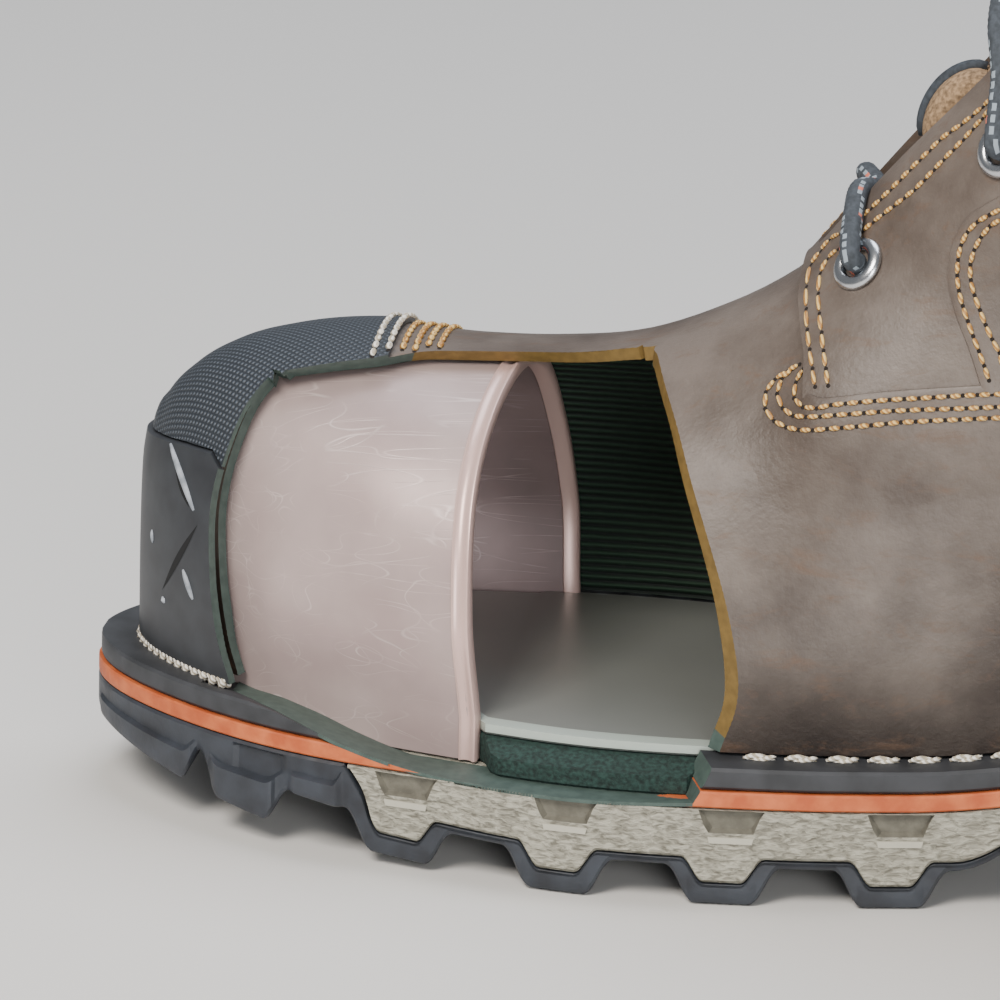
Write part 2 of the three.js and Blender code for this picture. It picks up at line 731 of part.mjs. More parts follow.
const outerForm = form(0)
const innerForm = form(-WALL, { past: COLLAR_RUN_OUT })
const seat = layer(s => feather(s) - 3, s => feather(s) + 6, s => shelf(s) + WALL, TOE_STEP + WALL,
  HEEL_STEP + WALL, innerList)
const upper = outerForm.subtract(innerForm).subtract(seat).subtract(throat).subtract(windowTool)

const toeSections = SECTIONS.filter(a => sectionEnds(a).top[0] < CAP_END + OVERLAY_RUN)
const above = form(GAP, { sections: toeSections, deep: FOOT_TUCK })
const bumperBar = sideways(BUMPER)
const bumper = form(BUMPER_THICK, { sections: toeSections }).subtract(above).intersect(bumperBar)
  .subtract(windowTool)
const guardBar = sideways([
  { along: -0.02, up: 0.125 }, { along: GUARD_END / LENGTH, up: 0.125 },
  { along: GUARD_END / LENGTH + 0.008, up: 0.6 }, { along: -0.02, up: 0.6 },
])
const bumperRoom = sideways(BUMPER.map((row, i) => {
  const rear = i === 1 || i === 2
  return { along: row.along + (rear ? 0.0035 : 0), up: row.up + (i > 1 ? 0.0018 : -0.02) }
}))
const guard = form(GUARD_THICK, { sections: toeSections }).subtract(above).intersect(guardBar)
  .subtract(bumperRoom).subtract(windowTool)

// Steel cap with a turned rim, standing on the core inside the welt
const CAP_SECTIONS = [0, 0.06, 0.14, 0.24, 0.36, 0.48, 0.58, 0.66]
const CAP_SIDES = [-1, -0.84, -0.68, -0.52, -0.34, -0.16, 0, 0.16, 0.34, 0.52, 0.68, 0.84, 1]
const rimSection = cross(a => sectionEnds(a).top[0] < CAP_END - CAP_RIM_LONG, 0.2, 0.9)
const capOut = -WALL - CAP_CLEAR
const capList = [...CAP_SECTIONS.filter(a => a < rimSection - 0.03), rimSection, rimSection + 0.004, 0.72]
const capShell = form(capOut, { sections: capList, sides: CAP_SIDES })
const capIn = a => capOut - (a > rimSection ? CAP_RIM : CAP_WALL)
const capInner = form(capIn, { sections: capList, sides: CAP_SIDES })
const skirtList = slices(TOE_STEP + WALL + 0.8, CAP_END + OVERLAY_RUN, 14)
const capFoot = (grow, low) => layer(low, s => feather(s) + 2, s => shelf(s) + WALL + CAP_CLEAR + grow,
  TOE_STEP + WALL + CAP_CLEAR + grow, 0, skirtList)
const capRoom = loft([-5, CAP_END].map(s => [V(s, -90, -5), V(s, 90, -5), V(s, 90, 130), V(s, -90, 130)]))
const capLow = s => coreTop(s) + 0.4
const cap = capShell.add(capFoot(0, capLow)).intersect(capRoom)
  .subtract(capInner.add(capFoot(CAP_WALL, s => capLow(s) - 3)))

// Eyestays
const shaftSections = SECTIONS.filter(a => a > 0.75)
const eyestayBar = sideways(EYESTAY)
const eyestays = form(EYESTAY_THICK, { sections: shaftSections })
  .subtract(form(GAP, { sections: shaftSections, past: COLLAR_RUN_OUT }))
  .intersect(eyestayBar).subtract(slotTool(EYESTAY_SET_BACK, SLOT_UP, SLOT_DOWN))

// Tongue: a padded sheet under the throat, raised inside the slot
function tongueSheet() {
  const list = [0.86, 0.93, 1, 1.1, 1.2, 1.32, 1.46, 1.6, 1.78, 2, 2.1, 2.16]
  const skin = deep => list.map(a => {
    const slot = slotAt(surface(a, 0).x)
    const across = [TONGUE_HALF, TONGUE_HALF * 0.75, slot - 0.9, slot * 0.5, 0]
    const puff = [0, 0, 0, 0.85, 1].map(k => k * TONGUE_RISE * smooth(1, 1.12, a))
    const at = (k, way) => raised(a, way * sideAt(a, across[k]), puff[k] - WALL - TONGUE_CLEAR - deep)
    return [at(0, -1), at(1, -1), at(2, -1), at(3, -1), at(4, 0), at(3, 1), at(2, 1), at(1, 1), at(0, 1)]
  })
  const out = skin(0)
  const under = skin(TONGUE_THICK)
  return loft(list.map((_, i) => [...out[i], ...under[i].slice().reverse()]))
}
const tongue = tongueSheet()

// Eyelets and lace
function eyeletPlace(row, way) {
  const side = way * sideAt(row.section, row.out * HALF_WIDTH)
  const n = surfaceNormal(row.section, side)
  return { side, n, p: surface(row.section, side).addScaledVector(n, EYESTAY_THICK + EYELET_CLEAR) }
}

function eyelet(place) {
  const turn = new THREE.Quaternion().setFromUnitVectors(V(0, 0, 1), place.n)
  const rows = [[EYELET_HOLE_R, 0], [EYELET_R, 0], [EYELET_R * 0.7, EYELET_THICK]]
  const count = 10
  const points = []
  const faces = []
  for (let i = 0; i < count; i += 1) {
    const angle = 2 * Math.PI * i / count
    for (const [r, h] of rows) {
      points.push(V(r * Math.cos(angle), r * Math.sin(angle), h).applyQuaternion(turn).add(place.p))
    }
    for (let j = 0; j < 3; j += 1) {
      const a = i * 3 + j
      const b = i * 3 + (j + 1) % 3
      const c = (a + 3) % (count * 3)
      const d = (b + 3) % (count * 3)
      faces.push([a, b, c], [b, d, c])
    }
  }
  return solid(points, faces)
}

// Five-sided cord along a smooth path
function cord(path, radius, count) {
  const line = new THREE.CatmullRomCurve3(path, false, 'centripetal')
  const frames = line.computeFrenetFrames(count, false)
  const rings = []
  for (let i = 0; i <= count; i += 1) {
    const p = line.getPointAt(i / count)
    rings.push([0, 1, 2, 3, 4].map(k => {
      const angle = k * Math.PI * 0.4
      return p.clone().addScaledVector(frames.normals[i], radius * Math.cos(angle))
        .addScaledVector(frames.binormals[i], radius * Math.sin(angle))
    }))
  }
  return loft(rings)
}

const places = EYELETS.map(row => ({ near: eyeletPlace(row, -1), far: eyeletPlace(row, 1), row }))

function strand(a, b, from, to, over) {
  const up = (place, h) => place.p.clone().addScaledVector(place.n, h)
  const sectionAtShare = t => a.section + (b.section - a.section) * t
  const over3 = [0.22, 0.5, 0.78].map(t => {
    const side = from.side + (to.side - from.side) * t
    const lift = EYESTAY_THICK + EYELET_THICK + LACE_R + 1.4 + over * (t === 0.5 ? 1 : 0.45)
    return raised(sectionAtShare(t), side, lift)
  })
  return cord([up(from, 2), up(from, 3.4), ...over3, up(to, 3.4), up(to, 2)], LACE_R, 5)
}

let lace = strand(places[0].row, places[0].row, places[0].near, places[0].far, 0.4)
for (let i = 0; i + 1 < places.length; i += 1) {
  const a = places[i]
  const b = places[i + 1]
  lace = lace.add(strand(a.row, b.row, a.near, b.far, 2.6))
  lace = lace.add(strand(a.row, b.row, a.far, b.near, 0))
}

// Scene
const group = new THREE.Group()
group.name = 'steel_toe_boot'

// The largest body of a cut solid: a cut can leave a crumb at a corner
function put(name, made, color, roughness, metalness) {
  const mesh = made.decompose().sort((a, b) => b.volume() - a.volume())[0].getMesh()
  const geometry = new THREE.BufferGeometry()
  const xyz = new Float32Array(mesh.numVert * 3)
  for (let i = 0; i < mesh.numVert; i += 1) {
    for (let k = 0; k < 3; k += 1) xyz[i * 3 + k] = mesh.vertProperties[i * mesh.numProp + k]
    xyz[i * 3] -= LENGTH / 2
  }
  geometry.setAttribute('position', new THREE.BufferAttribute(xyz, 3))
  geometry.setIndex(new THREE.BufferAttribute(new Uint32Array(mesh.triVerts), 1))
  geometry.computeVertexNormals()
  const material = new THREE.MeshStandardMaterial({ color, roughness, metalness })
  const object = new THREE.Mesh(geometry, material)
  object.name = name
  group.add(object)
}

put('outsole', outsole, 0x2b2d31, 0.75, 0)
put('sole_core', core, 0x969284, 0.9, 0)
put('midsole', midsole, 0xd0733f, 0.65, 0)
put('welt', welt, 0x3a3c40, 0.7, 0)
put('foam', foam, 0x2c3a38, 0.95, 0)
put('insole_plate', plate, 0xb4b6b4, 0.35, 1)
put('toe_cap', cap, 0xc9bab7, 0.4, 1)
put('upper', upper, 0x857a72, 0.6, 0)
put('toe_guard', guard, 0x4b5157, 0.6, 0)
put('toe_bumper', bumper, 0x303236, 0.5, 0)
put('eyestays', eyestays, 0x8a7f76, 0.6, 0)
put('tongue', tongue, 0x8c8172, 0.85, 0)
places.forEach((place, i) => {
  put(`eyelet_outer_${i + 1}`, eyelet(place.near), 0xc8cacc, 0.3, 1)
  put(`eyelet_inner_${i + 1}`, eyelet(place.far), 0xc8cacc, 0.3, 1)
})
put('lace', lace, 0x55585c, 0.9, 0)

export default group
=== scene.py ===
# %% [markdown]
# # Steel toe boot, cut open over the toe
# One left work boot, standing empty on its sole. A window is cut through its outer side, so
# the steel cap, the steel insole plate, the foam under it and the green lining can be seen.
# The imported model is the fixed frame. Each soft or simple solid of it is replaced here by a
# finer piece that is built from the same named sizes, so both have the same form.

# %% Load the frame
import math

import bmesh
import bpy
import numpy as np
from mathutils import Matrix, Vector
from mathutils.bvhtree import BVHTree


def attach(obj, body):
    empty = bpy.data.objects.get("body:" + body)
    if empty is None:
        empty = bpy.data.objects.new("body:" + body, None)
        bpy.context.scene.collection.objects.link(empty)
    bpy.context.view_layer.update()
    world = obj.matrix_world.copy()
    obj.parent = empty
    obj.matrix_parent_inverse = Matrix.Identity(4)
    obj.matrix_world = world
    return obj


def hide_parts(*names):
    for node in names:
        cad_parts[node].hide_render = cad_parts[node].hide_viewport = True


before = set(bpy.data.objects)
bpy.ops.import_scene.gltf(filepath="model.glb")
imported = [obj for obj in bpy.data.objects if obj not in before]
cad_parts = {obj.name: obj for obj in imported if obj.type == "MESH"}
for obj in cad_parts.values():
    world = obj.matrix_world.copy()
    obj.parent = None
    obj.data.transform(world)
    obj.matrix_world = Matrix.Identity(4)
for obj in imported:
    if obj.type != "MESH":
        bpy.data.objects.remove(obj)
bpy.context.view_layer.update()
BODY = "root"
print("nodes in the frame:", len(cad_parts))

# %% [markdown]
# ## Camera
# The photograph was taken with a long lens, from the toe end of the outer side and a little
# above. A long lens far away keeps the sole's lines nearly parallel. The camera is turned
# about its own axis by the small angle that the picture has.

# %% Camera
TARGET = Vector((-0.07995, 0.0, 0.05959))
DISTANCE = 1.3
AZIMUTH, ELEVATION, ROLL = (math.radians(a) for a in (8.0, 16.5, 1.5))
LENS_MM = 240.0

back = Vector((math.sin(AZIMUTH) * math.cos(ELEVATION),
               -math.cos(AZIMUTH) * math.cos(ELEVATION), math.sin(ELEVATION)))
level = Vector((math.cos(AZIMUTH), math.sin(AZIMUTH), 0))
upright = back.cross(level)
right = level * math.cos(ROLL) + upright * math.sin(ROLL)
above = upright * math.cos(ROLL) - level * math.sin(ROLL)
camera_data = bpy.data.cameras.new("long_lens")
camera_data.lens = LENS_MM
camera_data.sensor_width = 36
camera_data.clip_start = 0.05
camera = bpy.data.objects.new("camera", camera_data)
bpy.context.scene.collection.objects.link(camera)
spot = TARGET + back * DISTANCE
camera.matrix_world = Matrix((
    (right.x, above.x, back.x, spot.x), (right.y, above.y, back.y, spot.y),
    (right.z, above.z, back.z, spot.z), (0, 0, 0, 1)))
bpy.context.scene.camera = camera
print("camera at", [round(v, 3) for v in spot])

# %% [markdown]
# ## Sizes and curves
# A last maker draws a boot with a few lines: its plan, the line over the toe and instep, and
# the line down the heel. Each is a short table of places, and a smooth curve runs through
# them. All sizes are millimetres here. s is the distance behind the toe end of the sole, y
# goes to the inner side of the foot and z goes up. They turn to metres when a mesh is made.

# %% Curves of the last
LENGTH, HALF_WIDTH, SHAFT_TOP = 318.0, 58.0, 212.0


def smooth(low, high, v):
    """Soft step from 0 at low to 1 at high."""
    t = np.clip((np.asarray(v, float) - low) / (high - low), 0, 1)
    return t * t * (3 - 2 * t)


def curve(xs, ys):
    """Smooth function through the places of a table."""
    x, y = np.array(xs, float), np.array(ys, float)
    h = np.diff(x)
    d = np.diff(y) / h
    m = np.concatenate([d[:1], (d[:-1] * h[1:] + d[1:] * h[:-1]) / (h[1:] + h[:-1]), d[-1:]])

    def at(q):
        q = np.clip(np.asarray(q, float), x[0], x[-1])
        i = np.clip(np.searchsorted(x, q) - 1, 0, len(h) - 1)
        t = (q - x[i]) / h[i]
        return ((2 * t**3 - 3 * t**2 + 1) * y[i] + (t**3 - 2 * t**2 + t) * h[i] * m[i]
                + (3 * t**2 - 2 * t**3) * y[i + 1] + (t**3 - t**2) * h[i] * m[i + 1])
    return at


PLAN = np.array([(0, .65, .01), (.1, .825, .07), (.2, .91, .06), (.33, 1, 0), (.45, .945, -.03),
                 (.57, .8, -.05), (.68, .72, -.04), (.82, .725, 0), (1, .7, .01)])
RIDGE = np.array([(.0314, .3019), (.0352, .3349), (.044, .3608), (.0597, .3858), (.0849, .408),
                  (.1173, .4217), (.1739, .4311), (.2302, .4283), (.2805, .4325), (.3362, .4472),
                  (.3774, .4731), (.4088, .4991), (.4327, .5259), (.4591, .5769), (.4887, .6349),
                  (.5399, .7288), (.5818, .816), (.6164, .9104), (.6384, 1), (.6478, 1.0566)])
BACK = np.array([(.132, .9686), (.192, .9796), (.283, .9874), (.377, .9874), (.495, .9733),
                 (.637, .9623), (.778, .9638), (.967, .9733), (1.061, .978)])
SHAFT = np.array([(.283, .638), (.401, .647), (.495, .664), (.613, .655), (.755, .681),
                  (.896, .716), (1.061, .741)])
FULLNESS = np.array([(0, 2.9), (.19, 2.8), (.28, 2.5), (.38, 2.1), (.47, 1.9), (.63, 2), (1, 2)])

plan_half_at = curve(PLAN[:, 0] * LENGTH, PLAN[:, 1] * HALF_WIDTH)
middle = curve(PLAN[:, 0] * LENGTH, PLAN[:, 2] * HALF_WIDTH)
ridge = curve(RIDGE[:, 0] * LENGTH, RIDGE[:, 1] * SHAFT_TOP)
front_line = curve(RIDGE[:, 1] * SHAFT_TOP, RIDGE[:, 0] * LENGTH)
back_line = curve(BACK[:, 0] * SHAFT_TOP, BACK[:, 1] * LENGTH)
shaft_half = curve(SHAFT[:, 0] * SHAFT_TOP, SHAFT[:, 1] * HALF_WIDTH)
fullness = curve(FULLNESS[:, 0] * LENGTH, FULLNESS[:, 1])

# %% [markdown]
# The sole is a stack of layers that share one plan. The toe springs up from the ground and
# the heel is raised, so each layer's height is a curve of s as well.

# %% Layers of the sole
CORE_TOP, MIDSOLE_THICK, WELT_THICK, HEEL_RISE = 19.4, 3.5, 4.9, 13.0
TOE_SPRING, STACK_SPRING, SPRING_FROM = 14.0, 1.5, 105.0
RISE_FROM, RISE_TO = 165.0, 258.0
TOE_ROUND, HEEL_ROUND = 66.0, 40.0
TOE_STEP, HEEL_STEP, WELT_SHELF, HEEL_SHELF = 10.0, 7.0, 8.5, 6.5
SHELF_FROM, SHELF_TO = 180.0, 260.0


def plan_half(s, inset=0.0, toe=0.0, heel=0.0):
    """Half width of the sole's plan, set in all round by inset, its ends by toe and heel."""
    a = np.clip(1 - (s - toe) / TOE_ROUND, 0, 1)
    b = np.clip(1 - (LENGTH - heel - s) / HEEL_ROUND, 0, 1)
    return (np.maximum(plan_half_at(s) - inset, 0) * np.sqrt(np.maximum(1 - a**2.1, 0))
            * np.sqrt(np.maximum(1 - b**2.3, 0)))


def heel_lift(s):
    """How far the heel raises the sole."""
    return HEEL_RISE * smooth(RISE_FROM, RISE_TO, s)


def core_top(s):
    spring = STACK_SPRING * np.clip(1 - s / SPRING_FROM, 0, 1)**2
    return CORE_TOP + spring + heel_lift(s)


def midsole_top(s):
    return core_top(s) + MIDSOLE_THICK


def feather(s):
    """Height of the welt's top, where the upper meets it."""
    return midsole_top(s) + WELT_THICK


def shelf(s):
    """Width of the welt that shows outside the upper."""
    return WELT_SHELF - (WELT_SHELF - HEEL_SHELF) * smooth(SHELF_FROM, SHELF_TO, s)

# %% [markdown]
# The upper's outer surface is one function of two numbers. The section runs from 0 at the
# toe to 1 at the front of the shaft and turns like a fan up to 2 at the collar. The side runs
# from -1 at the foot of the outer side, over 0 on the ridge, to 1 at the foot of the inner
# side. Every panel of the upper is this surface, raised by its own thickness.

# %% Form of the upper
TIP, SWELL, BACK_EDGE = TOE_STEP + 0.3, 0.08, 0.8
PIVOT_S, FAN = 150.0, math.radians(90 - 4.3)
LEAN_FROM, LEAN_TO = 225.0, 300.0
SHAFT_LOW, SHAFT_HIGH, SHAFT_FROM, SHAFT_TO = 88.0, 132.0, 120.0, 160.0
RIDGE_END = RIDGE[18, 0] * LENGTH


def ridge_high(s):
    return np.where(s <= RIDGE_END, ridge(s), SHAFT_TOP + (s - RIDGE_END) * 4)


def upper_half(s, z):
    """Half width of the upper at a place of its side view."""
    rise = z - feather(s)
    lean = (back_line(z) - (LENGTH - HEEL_STEP)) * smooth(LEAN_FROM, LEAN_TO, s)
    flat = np.clip(s - lean, TOE_STEP, LENGTH - HEEL_STEP)
    t = np.clip(rise / np.maximum(ridge_high(s) - feather(s), 1), 0, 1)
    swell = 1 + SWELL * smooth(-2, 20, rise)
    arch = np.sqrt(np.maximum(1 - t**fullness(s), 0))
    foot = plan_half(flat, shelf(flat), TOE_STEP, HEEL_STEP) * swell * arch
    front, rear = front_line(z), back_line(z)
    q = np.clip((s - (front + rear) / 2) / ((rear - front) / 2), -1, 1)
    shaft = shaft_half(z) * np.sqrt(np.maximum(1 - np.abs(q)**2.3, 0))
    blend = smooth(SHAFT_LOW, SHAFT_HIGH, z) * smooth(SHAFT_FROM, SHAFT_TO, s)
    return foot * (1 - blend) + shaft * blend


def cross(test, low, high):
    """Where test turns from true to false, by halving."""
    low, high = np.array(low, float), np.array(high, float)
    for _ in range(34):
        m = (low + high) / 2
        yes = test(m)
        low, high = np.where(yes, m, low), np.where(yes, high, m)
    return (low + high) / 2


def section_ends(section):
    """Foot and ridge ends of a section line, each as (s, z)."""
    a = np.minimum(section, 1)
    s = TIP + (PIVOT_S - TIP) * (0.55 * a**2.2 + 0.45 * a)
    turn = (np.maximum(section, 1) - 1) * FAN

    def place(r):
        return PIVOT_S + r * np.sin(turn), SHAFT_TOP - r * np.cos(turn)

    def below(r):
        ps, pz = place(r)
        return pz > ridge_high(ps)

    def within(r):
        ps, pz = place(r)
        return (pz > feather(ps)) & (ps < back_line(pz))

    zero = np.zeros_like(turn)
    near = place(cross(below, zero, zero + 90))
    far = place(cross(within, zero + 90, zero + 260))
    fan = section > 1
    return ((np.where(fan, far[0], s), np.where(fan, far[1], feather(s))),
            (np.where(fan, near[0], s), np.where(fan, near[1], ridge(s))))


def surface(section, side):
    """Points of the outer surface, arrays of section and side in, (..., 3) out."""
    section, side = np.broadcast_arrays(np.asarray(section, float), np.asarray(side, float))
    foot, top = section_ends(section)
    v = 1 - np.abs(side)
    k = smooth(0.3, 0.9, section - 1)
    t = np.sin(v * np.pi / 2) * (1 - k) + (1 - np.cos(v * np.pi)) / 2 * k
    s = foot[0] + (top[0] - foot[0]) * t
    z = foot[1] + (top[1] - foot[1]) * t
    w = np.where(v >= 1, 0, np.maximum(upper_half(s, z), BACK_EDGE * (1 - v)))
    return np.stack([s, middle(s) + np.sign(side) * w, z], -1)


def unit(v):
    return v / np.maximum(np.linalg.norm(v, axis=-1, keepdims=True), 1e-12)


def surface_normal(section, side):
    section, side = np.broadcast_arrays(np.asarray(section, float), np.asarray(side, float))
    before = np.where(section < 0.01, 0, 0.01)
    along = surface(section + 0.01, side) - surface(section - before, side)
    across = (surface(section, np.minimum(side + 0.02, 1))
              - surface(section, np.maximum(side - 0.02, -1)))
    return unit(np.cross(along, across))


def raised(section, side, height):
    """The outer surface moved out by a height, one number or one for each point."""
    return surface(section, side) + surface_normal(section, side) * np.asarray(height)[..., None]


print("ridge over the toe:", round(float(ridge(55)), 1), "mm high")

# %% [markdown]
# ## Making meshes and materials
# A few small helpers do the repeated work. One turns rings of points into a closed skin, one
# makes an object of points and faces, and one cuts an object with others. A cut face keeps
# the material of the tool that cut it, so a tool can carry the colour of the cut edge.

# %% Mesh helpers
ORIGIN = np.array([LENGTH / 2, 0, 0])
MM = 0.001


def mesh_object(name, points, faces, material=None, smooth_faces=True, marks=None):
    """An object from points in mm and faces; marks gives each face the number of its material."""
    mesh = bpy.data.meshes.new(name)
    mesh.from_pydata(((np.asarray(points, float).reshape(-1, 3) - ORIGIN) * MM).tolist(), [], faces)
    materials = material if isinstance(material, (list, tuple)) else [material]
    for m in materials:
        if m is not None:
            mesh.materials.append(m)
    mesh.polygons.foreach_set("use_smooth", [smooth_faces] * len(mesh.polygons))
    if marks is not None:
        mesh.polygons.foreach_set("material_index", marks)
    mesh.update()
    made = bpy.data.objects.new(name, mesh)
    bpy.context.scene.collection.objects.link(made)
    return made


def loft(rings, closed=True, caps=True):
    """Points and faces of a skin over rings of equal count."""
    rings = np.asarray(rings, float)
    count, n = rings.shape[:2]
    i, j = np.meshgrid(np.arange(count - 1), np.arange(n if closed else n - 1), indexing="ij")
    a, b = i * n + j, i * n + (j + 1) % n
    faces = np.stack([a, b, b + n, a + n], -1).reshape(-1, 4).tolist()
    if caps:
        faces += [list(range(n))[::-1], list(range((count - 1) * n, count * n))]
    return rings.reshape(-1, 3), faces


def joined(parts):
    """Many meshes as one list of points and one of faces."""
    points, faces, base = [], [], 0
    for part_points, part_faces in parts:
        points.append(np.asarray(part_points))
        faces += [[base + i for i in f] for f in part_faces]
        base += len(part_points)
    return np.concatenate(points), faces


def turn_out(made):
    """Turns all faces of a closed object outwards."""
    work = bmesh.new()
    work.from_mesh(made.data)
    bmesh.ops.recalc_face_normals(work, faces=work.faces)
    if work.calc_volume(signed=True) < 0:
        bmesh.ops.reverse_faces(work, faces=work.faces)
    work.to_mesh(made.data)
    work.free()
    return made


def settle(made):
    """Applies the object's modifiers."""
    graph = bpy.context.evaluated_depsgraph_get()
    mesh = bpy.data.meshes.new_from_object(made.evaluated_get(graph))
    made.modifiers.clear()
    made.data = mesh
    return made


def cut(made, *tools, operation="DIFFERENCE"):
    """Cuts an object with others, one after the other, and removes the tools."""
    for tool in tools:
        step = made.modifiers.new("cut", "BOOLEAN")
        step.object, step.operation, step.solver = tool, operation, "EXACT"
        step.material_mode = "TRANSFER"
        settle(made)
        bpy.data.objects.remove(tool)
    return made


def sharpen(made, degrees=32):
    """Smooth shading with edges sharper than an angle kept crisp."""
    made.data.polygons.foreach_set("use_smooth", [True] * len(made.data.polygons))
    made.data.set_sharp_from_angle(angle=math.radians(degrees))
    return made


def place(made, slot_name, *nodes):
    """The piece rides on the boot and stands for the named solids, which it hides; slot_name is not
    used.
    """
    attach(made, BODY)
    if nodes:
        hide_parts(*nodes)
    print(made.name, len(made.data.polygons), "faces")
    return made


print("one millimetre is", MM, "of the frame's metres")

# %% [markdown]
# A material is a small tree of nodes. Colours are written as sRGB hex, as a paint chart has
# them, and one function turns them to the linear values that light is worked out in. Patterns
# read the piece's own place in millimetres, so each can have its real size.

# %% Material helpers
def linear(hue, alpha=1.0):
    """sRGB hex to the linear colour that a shader takes."""
    parts = [int(hue[i:i + 2], 16) / 255 for i in (1, 3, 5)]
    return (*[v / 12.92 if v <= 0.04045 else ((v + 0.055) / 1.055)**2.4 for v in parts], alpha)


def add(tree, kind, inputs=(), stops=(), **settings):
    """Adds a node. An input is a node, a socket, a hex colour or a number; stops are a ramp's."""
    made = tree.nodes.new("ShaderNode" + kind)
    for key, value in settings.items():
        setattr(made, key, value)
    if stops:
        ramp = made.color_ramp
        while len(ramp.elements) < len(stops):
            ramp.elements.new(0.5)
        for element, (where, hue) in zip(ramp.elements, stops):
            element.position = where
            element.color = linear(hue) if isinstance(hue, str) else (hue, hue, hue, 1)
    for key, value in dict(inputs).items():
        if isinstance(value, bpy.types.Node):
            value = value.outputs[0]
        if isinstance(value, bpy.types.NodeSocket):
            tree.links.new(value, made.inputs[key])
        else:
            made.inputs[key].default_value = linear(value) if isinstance(value, str) else value
    return made


def material(name):
    """An empty node material, its tree and its place in millimetres."""
    made = bpy.data.materials.new(name)
    made.use_nodes = True
    tree = made.node_tree
    tree.nodes.clear()
    here = add(tree, "TexCoord")
    mm = add(tree, "VectorMath", {0: here.outputs["Object"], 1: (1000, 1000, 1000)},
             operation="MULTIPLY")
    return made, tree, mm


def finish(tree, shader, height=None, relief=0.0):
    """Ends a material: the shader's inputs, and a height in mm that becomes its bump."""
    surface_shader = add(tree, "BsdfPrincipled", shader)
    if height is not None:
        bump = add(tree, "Bump", {"Height": height, "Distance": relief * MM, "Strength": 1.0})
        tree.links.new(bump.outputs[0], surface_shader.inputs["Normal"])
    out = add(tree, "OutputMaterial")
    tree.links.new(surface_shader.outputs[0], out.inputs["Surface"])


print("linear middle grey:", [round(v, 3) for v in linear("#808080")])

# %% [markdown]
# ## Leather
# The upper is oiled full-grain leather, rubbed and waxed, with a nap that catches cool light
# and brown showing through. Large and small noise mix two tones, the foot darkens towards the
# welt, and sparse scuffs show the warmer leather under the finish.

# %% Oiled leather
def leather_material(name, light, dark, scuff):
    """Oiled leather: the oil gives a soft gloss and clouds the tone, rubbing bares it."""
    made, tree, mm = material(name)
    cloud = add(tree, "TexNoise", {"Vector": mm, "Scale": 1 / 30, "Detail": 5, "Roughness": 0.6})
    tone = add(tree, "ValToRGB", {0: cloud}, stops=((0.36, dark), (0.64, light)))
    # Darker towards the welt: below a height that the cloud shifts, the tone mixes to near black.
    height = add(tree, "SeparateXYZ", {0: mm})
    drift = add(tree, "Math", {0: height.outputs["Z"], 1: add(
        tree, "Math", {0: cloud, 1: 40.0}, operation="MULTIPLY")}, operation="ADD")
    low = add(tree, "MapRange", {"Value": drift, "From Min": 46, "From Max": 84})
    foot = add(tree, "Mix", {0: low, 6: "#231b17", 7: tone}, data_type="RGBA")
    drawn = add(tree, "Mapping", {"Vector": mm, "Rotation": (0, 0.5, 0), "Scale": (0.35, 1, 1)})
    rub = add(tree, "TexNoise", {"Vector": drawn, "Scale": 1 / 5, "Detail": 7, "Roughness": 0.74,
                                 "Distortion": 0.5})
    rubbed = add(tree, "MapRange", {"Value": rub, "From Min": 0.54, "From Max": 0.74,
                                    "To Max": 0.75})
    warm = add(tree, "Mix", {0: rubbed, 6: foot.outputs[2], 7: scuff}, data_type="RGBA")
    grain = add(tree, "TexVoronoi", {"Vector": mm, "Scale": 1 / 1.0}, feature="SMOOTH_F1")
    fine = add(tree, "TexNoise", {"Vector": mm, "Scale": 1 / 0.45, "Detail": 3})
    bumps = add(tree, "Math", {0: grain, 1: fine}, operation="ADD")
    rough = add(tree, "MapRange", {"Value": rub, "To Min": 0.38, "To Max": 0.58})
    finish(tree, {"Base Color": warm.outputs[2], "Roughness": rough, "IOR": 1.5}, bumps, 0.06)
    return made


leather = leather_material("oiled_full_grain_leather", "#6d635b", "#4a3f37", "#5f4735")
print("made", leather.name)

# %% [markdown]
# Cut edges, rubber, foam and metal are plainer: one or two near hues mixed by a noise of the
# size of their mottling, and a little relief. The window's edge is painted, green in front
# where it cuts the guard and ochre behind. The lining is a ribbed knit whose level ribs catch
# a thin line of light each.

# %% Plain finishes and lining
def plain_material(name, hue, rough, metal=0.0, other=None, size=2.0, relief=0.0):
    """A simple finish: one hue, or two mixed by a noise of a size in mm, and a little relief."""
    made, tree, mm = material(name)
    noise = add(tree, "TexNoise", {"Vector": mm, "Scale": 1 / size, "Detail": 5})
    colour = add(tree, "ValToRGB", {0: noise}, stops=((0.35, hue), (0.65, other or hue)))
    finish(tree, {"Base Color": colour, "Roughness": rough, "Metallic": metal}, noise, relief)
    return made


edge_green = plain_material("green_cut_edge", "#3d4d48", 0.6, other="#4a5b55")
edge_ochre = plain_material("ochre_cut_edge", "#6b5529", 0.6, other="#7d6433")


def lining_material(name):
    """Ribbed knit lining: a dark green, its ribs lie level and catch a little light."""
    made, tree, mm = material(name)
    ribs = add(tree, "TexWave", {"Vector": mm, "Scale": 1 / 5.0, "Distortion": 0.6,
                                 "Detail": 1}, bands_direction="Z")
    hue = add(tree, "ValToRGB", {0: ribs}, stops=((0.2, "#0e1a16"), (0.9, "#26402f")))
    finish(tree, {"Base Color": hue, "Roughness": 0.75}, ribs, 0.5)
    return made


lining = lining_material("green_knit_lining")
cut_dark = plain_material("raw_leather_edge", "#4a3c32", 0.8, other="#5a4a3e")
print("made", edge_green.name, edge_ochre.name, lining.name, cut_dark.name)

# %% [markdown]
# The shell of the upper is a filled outer form less a filled inner form. It is cut by three
# tools: the seat over the sole, the throat slot for the tongue, and the window over the toe.

